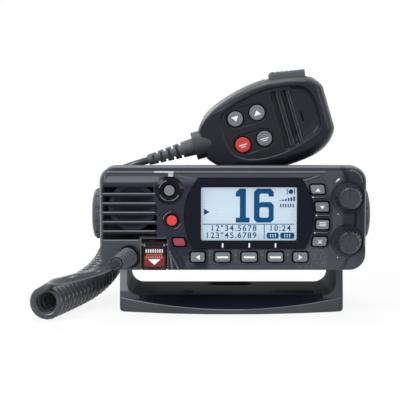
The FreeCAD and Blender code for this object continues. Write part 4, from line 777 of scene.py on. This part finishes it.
def shell_height(points, outline):
    """Height of the shell's outer surface, with its sunk panel, key wells and sound slots."""
    along, across = points[:, 0], points[:, 1]
    neck_slope = (SHELL_HEIGHT - NECK_HEIGHT) / (NECK_END - NECK_START)
    neck = np.maximum(NECK_HEIGHT + (along - NECK_START) * neck_slope, SHELL_RIM)
    height = np.minimum(shoulder(edge_distance(points, outline)), neck)
    panel = rounded(MIC_SUNK_PANEL)
    sunk = edge_distance(points, panel) * np.where(within(points, panel), 1, -1)
    height -= PANEL_STEP * eased(sunk / PANEL_STEP_RUN)
    far = eased((along - FAR_BOWL_START) / FAR_BOWL_RUN)
    height -= FAR_BOWL_DEPTH * far * eased(sunk / FAR_BOWL_WALL)
    for row in (HIGH_ROW, LOW_ROW):
        away = np.hypot(along - np.clip(along, NEAR_COLUMN, FAR_COLUMN), across - row)
        height -= WELL_DEPTH * eased((WELL_RADIUS - away) / WELL_RUN)
    for s0, s1, t0, t1, depth, wall in MIC_HOLLOWS:
        inset = np.minimum.reduce([along - s0, s1 - along, across - t0, t1 - across, sunk / 2])
        height -= depth * eased(inset / wall)
    for s, t in MIC_KEYS.values():
        away = np.hypot(along - s, across - t)
        height += (KEY_HOLE_HEIGHT - height) * eased((KEY_HOLE_RADIUS - away) / KEY_HOLE_RUN)
    return height


def ray_lengths(rays, outline):
    """How far each ray from the shell's centre goes before it meets the outline."""
    reach = np.full(len(rays), HUGE)
    for a, b in sides_of(outline):
        side, gap = b - a, a - SHELL_CENTRE
        across = rays[:, 0] * side[1] - rays[:, 1] * side[0]
        across = np.where(abs(across) < TINY, TINY, across)
        far = (gap[0] * side[1] - gap[1] * side[0]) / across
        share = (gap[0] * rays[:, 1] - gap[1] * rays[:, 0]) / across
        hit = (far > 0) & (share >= -1e-6) & (share <= 1 + 1e-6)
        reach = np.where(hit, np.minimum(reach, far), reach)
    return reach


def ring_points(rays, reach, rings):
    """Rings of points from an outline to the shell's centre, and the centre as the last point."""
    shares = np.linspace(1.0, 0.0, rings + 1)[:-1, None]
    places = SHELL_CENTRE + (shares * reach)[:, :, None] * rays
    return np.vstack([places.reshape(-1, 2), SHELL_CENTRE])


def ring_faces(start, rings, faces_out):
    """The faces between rings of points that begin at a given point."""
    faces = []
    middle = start + rings * SHELL_RAYS
    for ring in range(rings):
        for ray in range(SHELL_RAYS):
            a = start + ring * SHELL_RAYS + ray
            b = start + ring * SHELL_RAYS + (ray + 1) % SHELL_RAYS
            inner = (middle,) if ring == rings - 1 else (b + SHELL_RAYS, a + SHELL_RAYS)
            faces.append((a, b, *inner) if faces_out else (a, b, *inner)[::-1])
    return faces


def make_microphone_front():
    """The shell as a closed wall: rings of points from its edge to the middle of its face."""
    outline = shell_outline()
    bar = along_and_across(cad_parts["ptt_button"])[:, 0]
    turns = np.arange(SHELL_RAYS) * 2 * np.pi / SHELL_RAYS
    rays = np.stack([np.cos(turns), np.sin(turns)], axis=1)
    reach = ray_lengths(rays, outline)
    rim_s = SHELL_CENTRE[0] + reach * rays[:, 0]
    slot = (rim_s > bar.min() - TALK_SLOT_GAP) & (rim_s < bar.max() + TALK_SLOT_GAP)
    slot &= rays[:, 1] > 0
    rim = np.where(slot, TALK_SLOT_HEIGHT, SHELL_RIM)
    reach = reach - np.where(slot, TALK_SLOT_INSET, 0.0)

    outer = ring_points(rays, reach, SHELL_RINGS)
    height = np.maximum(shell_height(outer, outline), np.append(np.tile(rim, SHELL_RINGS), 0))
    height[:SHELL_RAYS] = rim
    inner = ring_points(rays, reach - SHELL_WALL, SHELL_INNER_RINGS)
    under = shoulder(edge_distance(inner, outline) - SHELL_WALL) - SHELL_FACE_WALL
    lowest = np.append(np.tile(rim, SHELL_INNER_RINGS), 0)
    under = np.maximum(np.minimum(under, SHELL_CEILING), lowest)
    under[:SHELL_RAYS] = rim

    places = [on_microphone(s, t, MIC_SEAM_Y - h)
              for (s, t), h in zip(np.vstack([outer, inner]), np.append(height, under))]
    first = len(outer)
    faces = ring_faces(0, SHELL_RINGS, True) + ring_faces(first, SHELL_INNER_RINGS, False)
    for ray in range(SHELL_RAYS):
        following = (ray + 1) % SHELL_RAYS
        faces.append((ray, first + ray, first + following, following))
    mesh = bpy.data.meshes.new("microphone_front")
    mesh.from_pydata(places, [], faces)
    mesh.shade_smooth()
    mesh.materials.append(MIC)
    front = placed("microphone_front", mesh)
    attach(front, "microphone")
    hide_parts("mic_front_shell")


make_microphone_front()


# -------------------- what the display shows

SMALL_TEXT = 3.3
DIGIT_SIZE, DIGIT_WEIGHT, DIGIT_SPACING = SMALL_TEXT / 0.73, 0.02 * SMALL_TEXT, 1.25
ROW_HIGH, ROW_LOW = -8.3, -12.35
SCREEN_U, SCREEN_V = 9.0, 2.5


def glass(u, v):
    """A point on the display's front, from the panel's centre."""
    return on_face(u, v, GLYPH_Y)


def ink(name, loops):
    """A mark on the display, its corners given from the screen's own centre."""
    loops = [[(SCREEN_U + u, SCREEN_V + v) for u, v in loop] for loop in loops]
    flat_mark(name, loops, INK, "radio", glass)


def number(name, words, u, v):
    """Plain digits from the built-in lettering, centred on (u, v)."""
    curve = bpy.data.curves.new(name, "FONT")
    curve.body, curve.size, curve.offset = words, DIGIT_SIZE, DIGIT_WEIGHT
    curve.align_x, curve.align_y = "CENTER", "CENTER"
    curve.space_character = DIGIT_SPACING
    written = placed(name, curve)
    mesh = plain_mesh(written)
    bpy.data.objects.remove(written)
    for corner in mesh.vertices:
        corner.co = glass(u + corner.co.x, v + corner.co.y)
    mesh.materials.clear()
    mesh.materials.append(INK)
    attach(placed(name, mesh), "radio")


def show_display():
    """A channel number, rows of digits, bars and symbols on the lit display."""
    one = [(-7.35, 12.1), (-5.15, 14.2), (-1.65, 14.2), (-1.65, -2.2), (0.45, -2.2), (0.45, -5.0),
           (-7.35, -5.0), (-7.35, -2.2), (-5.05, -2.2), (-5.05, 9.7), (-7.35, 9.7)]
    six = [(4.55, 14.2), (12.3, 14.2), (14.0, 12.3), (14.0, 9.7), (11.15, 9.7), (11.15, 10.7),
           (10.45, 11.35), (6.75, 11.35), (6.0, 10.7), (6.0, 5.9), (6.75, 6.6), (12.3, 6.6),
           (14.0, 4.9), (14.0, -3.3), (12.3, -5.0), (4.55, -5.0), (2.85, -3.3), (2.85, 12.3)]
    hole = [(6.65, 3.6), (10.55, 3.6), (11.2, 2.9), (11.2, -1.5), (10.55, -2.2), (6.65, -2.2),
            (6.0, -1.5), (6.0, 2.9)]
    ink("display_channel", [one, six, hole])
    ink("display_lines", [box_loop(-25.9, 25.7, -6.15, -5.7), box_loop(8.5, 8.95, -14.2, -6.15)])
    pills = [round_loop(u0, u1, -14.1, -10.7, 1.0) for u0, u1 in ((10.1, 16.9), (17.8, 25.7))]
    gaps = [box_loop(u + i * 1.4, u + 0.5 + i * 1.4, -13.4, -11.4)
            for u in (12.0, 20.0) for i in range(3)]
    ink("display_pills", pills + gaps)
    dot = dot_loop(23.6, 12.45, 1.35, 1.35, 16)
    uprights = [box_loop(21.3, 21.75, 10.75, 14.1), box_loop(25.4, 25.85, 10.75, 14.1)]
    steps = [box_loop(17.2 + i * 1.55, 18.2 + i * 1.55, 7.1, 7.6 + i * 0.42) for i in range(6)]
    ladder = [box_loop(17.6 + i * 1.4, 18.3 + i * 1.4, 3.6, 5.6) for i in range(6)]
    ink("display_symbols",
        [dot, *uprights, *steps, *ladder, pointer(-23.7, 1.0, 3.2, 3.6, "right")])
    number("display_row_high", "12°34.5678", 0.4, SCREEN_V + ROW_HIGH)
    number("display_row_low", "123°45.6789", -1.0, SCREEN_V + ROW_LOW)
    number("display_clock", "10:24", 26.6, SCREEN_V + ROW_HIGH)


# -------------------- marks on the panel and its keys

def mark_panel():
    """The ticks under the display, the signs on the keys and the marks by the dials."""
    ticks = [box_loop(u - 0.4, u + 0.4, -16.4, -14.0) for u in (-5.75, 9.25, 24.0)]
    flat_mark("display_ticks", ticks, WHITE_MARK, "radio", just_over(SURROUND_Y))
    cross = [(-1.1, 0.8), (-0.75, 1.1), (0, 0.4), (0.75, 1.1), (1.1, 0.8), (0.35, 0), (1.1, -0.8),
             (0.75, -1.1), (0, -0.4), (-0.75, -1.1), (-1.1, -0.8), (-0.35, 0)]
    signs = {"up_key": [pointer(47.5, 16.2, 2.9, 1.9, "up")],
             "down_key": [pointer(50.1, 6.3, 2.9, 1.9, "down")],
             "menu_key": [box_loop(48.5, 52.3, -2.4 - i * 0.9, -2.0 - i * 0.9) for i in range(3)],
             "clear_key": [[(48.9 + u, -13.1 + v) for u, v in cross]],
             "left_key": [pointer(-19.8, -21.85, 2.2, 2.6, "left")],
             "right_key": [pointer(38.1, -21.85, 2.2, 2.6, "right")]}
    for key, u in (("first_soft_key", -5.75), ("second_soft_key", 9.25), ("third_soft_key", 24.0)):
        signs[key] = [box_loop(u - 3.1, u + 3.1, -22.35, -21.35)]
    for key, loops in signs.items():
        flat_mark(key + "_mark", loops, WHITE_MARK, key + "_push", just_over(KEY_TOP_Y))
    wedge = [(57.4, 20.3), (58.1, 21.5), (59.3, 22.8), (59.8, 22.2), (59.6, 21.7), (58.4, 20.9)]
    flat_mark("volume_wedge", [wedge], WHITE_MARK, "radio", just_over(FACE_Y))
    dots = [dot_loop(59.0, v, 0.3, 0.3, 8) for v in (2.4, -22.1)]
    flat_mark("knob_dots", dots, WHITE_MARK, "radio", just_over(FACE_Y))


# -------------------- painted highlights on edges, painted shade in grooves, and printed marks

BAND_Y = -44.1
COVER_Y = -46.0
SCAN_RING, RED_RING, VOLUME_RING = (-35.7, 15.8, -45.98), (-34.3, -1.1, FACE_Y), (66.0, 20.5, FACE_Y)
# each pale arc of painted highlight: ring, radius, from and to in degrees, thickness, finish
RIM_HIGHLIGHT_ARCS = [(SCAN_RING, 5.75, 205, 335, 0.17, EDGE), (SCAN_RING, 5.75, 285, 330, 0.24, PALE),
            (SCAN_RING, 5.75, 205, 250, 0.24, PALE), (SCAN_RING, 5.75, 105, 165, 0.22, PALE),
            (VOLUME_RING, 6.4, -4, 96, 0.2, PALE), (RED_RING, 4.9, 95, 175, 0.2, PALE),
            (RED_RING, 5.0, 285, 340, 0.16, PALE)]


def panel_edges():
    """Painted highlights on the louvres' and ledges' edges and the ledges' ends, on the ribs between
    the keys and in pale strips along edges and raised lines, and painted shade under the ledges.
    """
    louvres = [(-58.4, FACE_Y, PANEL_Z + v) for v in (14.0, 8.7, 3.45, -1.85, -7.1)]
    bars("louvre_edges", louvres, 29.4, 0.55, 0.16, PALE, "radio")
    bars("lowest_louvre_edge", [(-63.0, FACE_Y, PANEL_Z - 12.4)], 20.0, 0.55, 0.16, PALE, "radio")
    ribs = (-13.0, 1.75, 16.6, 31.1)
    bars("key_ribs", [(u, BAND_Y, PANEL_Z - 21.9) for u in ribs], 0.32, 7.4, 0.5, EDGE, "radio")
    bars("rib_heads", [(u, BAND_Y, PANEL_Z - 18.2) for u in ribs], 2.2, 0.35, 0.5, EDGE, "radio")
    bars("rib_knots", [(u, BAND_Y, PANEL_Z - 20.8) for u in ribs], 0.8, 0.8, 0.7, PALE, "radio",
         lean=math.pi / 4)
    ledges = [(u, BAND_Y, PANEL_Z + v) for u, v in ((48.6, 11.9), (50.6, 1.6), (49.7, -8.2))]
    bars("key_ledges", ledges, 7.8, 0.3, 0.5, PALE, "radio")
    shades = [(u, y, z - 0.55) for u, y, z in ledges]
    bars("ledge_shades", shades, 7.8, 0.5, 0.3, SEAL, "radio")
    bars("ledge_ends", [(u - 3.6, y, z) for u, y, z in ledges], 0.7, 0.6, 0.6, WHITE_MARK, "radio")
    strips = [[(38.9, 21.6), (48.0, 24.4), (49.3, 24.2), (40.2, 21.2)],
              [(-52.2, -28.9), (-51.7, -28.9), (-51.7, -11.3), (-52.2, -10.9)],
              [(-52.2, -10.9), (-51.6, -11.3), (-37.2, -11.3), (-37.6, -10.9)],
              [(-36.9, -12.2), (-36.4, -12.4), (-36.4, -28.9), (-36.9, -28.9)],
              [(-36.0, -18.4), (-35.3, -18.4), (-33.6, -28.6), (-34.7, -28.6)],
              [(-31.4, 23.9), (-20.7, 21.8), (-20.5, 22.1), (-31.0, 24.4)],
              [(-35.0, -20.6), (-34.6, -20.6), (-30.4, -28.6), (-31.2, -28.6)]]
    flat_mark("panel_strips", strips, EDGE, "radio", just_over(FACE_Y))


def rim_arc(u, v, y, radius, start, end):
    """Points of an arc in the panel's plane, its angles in degrees from the right, anticlockwise."""
    steps = max(4, round(abs(end - start) / 6))
    turns = [math.radians(start + (end - start) * i / steps) for i in range(steps + 1)]
    return [on_face(u + radius * math.cos(a), v + radius * math.sin(a), y) for a in turns]


RELIEF_RADIUS, RELIEF_TAPER = 5.6, 1.6
GROOVES, GROOVE_SINK, GROOVE_RADIUS = 7, 0.55, 0.3
GROOVES_START, GROOVES_SPAN, GROOVE_SHARE = 2.05, 16.0, 0.93


def round_edges():
    """Pale arcs of painted highlight round two keys and a dial, and dark rings of painted shade in
    the grooves of the cord's strain relief.
    """
    for i, ((u, v, y), radius, start, end, thick, skin) in enumerate(RIM_HIGHLIGHT_ARCS):
        tube(f"rim_arc_{i + 1}", rim_arc(u, v, y, radius, start, end), skin, thick, "radio")
    side = RELIEF_AXIS.cross(Z_AXIS).normalized()
    rise = side.cross(RELIEF_AXIS)
    for i in range(GROOVES):
        along = GROOVES_START + (i + GROOVE_SHARE) * GROOVES_SPAN / GROOVES
        radius = (RELIEF_RADIUS - RELIEF_TAPER * along / RELIEF_LENGTH - GROOVE_SINK) * MM
        centre = RELIEF_START + RELIEF_AXIS * along * MM
        ring = [centre + (side * math.cos(a) + rise * math.sin(a)) * radius
                for a in (j * math.pi / 16 for j in range(33))]
        tube(f"relief_groove_{i + 1}", ring, SEAL, GROOVE_RADIUS, "radio")


LIP_END_Y, LIP_BOW, LIP_LOW, LIP_HIGH = -20.0, 9.3, 2.7, 8.3
# LIP_SHARE is how much of the base's width it takes, LIP_CHANGE the step where its finish changes
LIP_STEPS, LIP_SHARE, LIP_CHANGE, LIP_RADIUS = 60, 0.985, 33, 0.26


def bracket_lip():
    """A pale line of painted highlight along the bowed lip in front of the bracket's base, paler on
    the left.
    """
    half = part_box("mounting_bracket")[1].x / MM
    route = []
    for step in range(LIP_STEPS + 1):
        x = half * (step / (LIP_STEPS / 2) - 1) * LIP_SHARE
        share = (x / half) ** 2
        y, z = LIP_END_Y - LIP_BOW * (1 - share), LIP_LOW + (LIP_HIGH - LIP_LOW) * share
        route.append(Vector((x, y, z)) * MM)
    tube("bracket_lip_left", route[:LIP_CHANGE + 1], BEAD, LIP_RADIUS, "bracket")
    tube("bracket_lip_right", route[LIP_CHANGE:], PALE, LIP_RADIUS, "bracket")


# the bead round the seam leaves out the talk bar with a margin, and the end inside the collar
BAR_MARGIN, COLLAR_END, BEAD_RADIUS = 1.4, 10.0, 0.42
BEAD_START = 1.5
SOUND_RIBS, RIB_CENTRE, RIB_HALF, RIB_RADIUS = (54.9, 57.0, 60.9, 62.3), 0.5, 15.5, 0.27
TEETH, TEETH_ALONG, TEETH_START, TEETH_SINK = 25, 83.0, -12.0, 1.2


def microphone_edges():
    """Painted highlights: the pale bead round the microphone's seam, its paler sound ribs and the
    pale fine teeth at its far end.
    """
    outline = shell_outline()
    bar = along_and_across(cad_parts["ptt_button"])[:, 0]
    first = min(range(len(outline)),
                key=lambda i: abs(outline[i][0] - bar.min() + BEAD_START) - outline[i][1])
    outline = np.roll(outline, -first, axis=0)
    left_out = (outline[:, 0] > bar.min() - BAR_MARGIN) & (outline[:, 0] < bar.max() + BAR_MARGIN)
    left_out &= outline[:, 1] > 0
    left_out |= outline[:, 0] < COLLAR_END
    runs = [[]]
    for corner, skipped in zip(outline, left_out):
        if skipped:
            runs.append([])
        else:
            runs[-1].append(on_microphone(*corner, MIC_SEAM_Y - SHELL_RIM))
    for i, run in enumerate(run for run in runs if len(run) > 2):
        tube(f"seam_bead_{i + 1}", run, BEAD, BEAD_RADIUS, "microphone")
    for i, s in enumerate(SOUND_RIBS):
        line = np.array([(s, RIB_CENTRE + RIB_HALF * (step / 12 - 1)) for step in range(25)])
        route = [on_microphone(s, t, MIC_SEAM_Y - height)
                 for (s, t), height in zip(line, shell_height(line, outline))]
        tube(f"sound_rib_{i + 1}", route, RIB, RIB_RADIUS, "microphone")
    teeth = [tuple(on_microphone(TEETH_ALONG, TEETH_START + i, MIC_SEAM_Y - TEETH_SINK) / MM)
             for i in range(TEETH)]
    bars("end_teeth", teeth, 0.5, 0.45, 1.4, PALE, "microphone", lean=MIC_TILT)


def mark_cover():
    """The distress cover's bars, strip, red field and arrow, and its pin ends."""
    def mark(name, loops, skin, layers=1):
        flat_mark(name, loops, skin, "distress_lid", just_over(COVER_Y, layers))

    mark("cover_field", [box_loop(-49.9, -38.5, -26.9, -20.9)], RED_MARK)
    mark("cover_strip", [box_loop(-48.9, -39.6, -20.85, -19.95)], ORANGE_MARK)
    mark("cover_foot", [box_loop(-49.9, -47.6, -29.0, -26.9), box_loop(-40.6, -38.5, -29.0, -26.9),
                        box_loop(-47.6, -40.6, -27.6, -26.9)], BROWN_MARK)
    mark("cover_hinge_line", [box_loop(-49.6, -38.8, -16.0, -15.6)], BROWN_MARK)
    mark("cover_arrow", [pointer(-44.2, -24.6, 7.0, 3.2, "down")], WHITE_MARK, layers=2)
    mark("cover_row", [box_loop(-48.9 + i * 1.2, -48.2 + i * 1.2, -22.5, -21.3) for i in range(8)],
         ROSE_MARK, layers=2)
    rows = [(-48.7 + i * 1.28, COVER_Y, PANEL_Z - 18.3) for i in range(8)]
    bars("cover_bars", rows, 0.62, 2.1, 0.08, WHITE_MARK, "distress_lid")
    ends = [dot_loop(u, -15.0, 0.55, 0.8, 8) for u in (-49.8, -38.6)]
    mark("cover_pin_ends", ends, PALE, layers=2)


def mark_microphone():
    """The signs on the microphone's four keys."""
    def key_top(s, t):
        return on_microphone(s, t, MIC_SEAM_Y - SHELL_HEIGHT - MARK_LIFT)

    for name, (s, t) in MIC_KEYS.items():
        if name in ("mic_down_key", "mic_up_key"):
            loops = [pointer(s, t, 4.2, 3.0, name.split("_")[1])]
        else:
            loops = [box_loop(s - 2.4, s + 2.4, t - 0.25, t + 0.3),
                     box_loop(s - 1.5, s + 1.5, t - 1.4, t - 0.9)]
        flat_mark(name + "_mark", loops, WHITE_MARK, name + "_push", key_top)


show_display()
mark_panel()
panel_edges()
round_edges()
bracket_lip()
microphone_edges()
mark_cover()
mark_microphone()
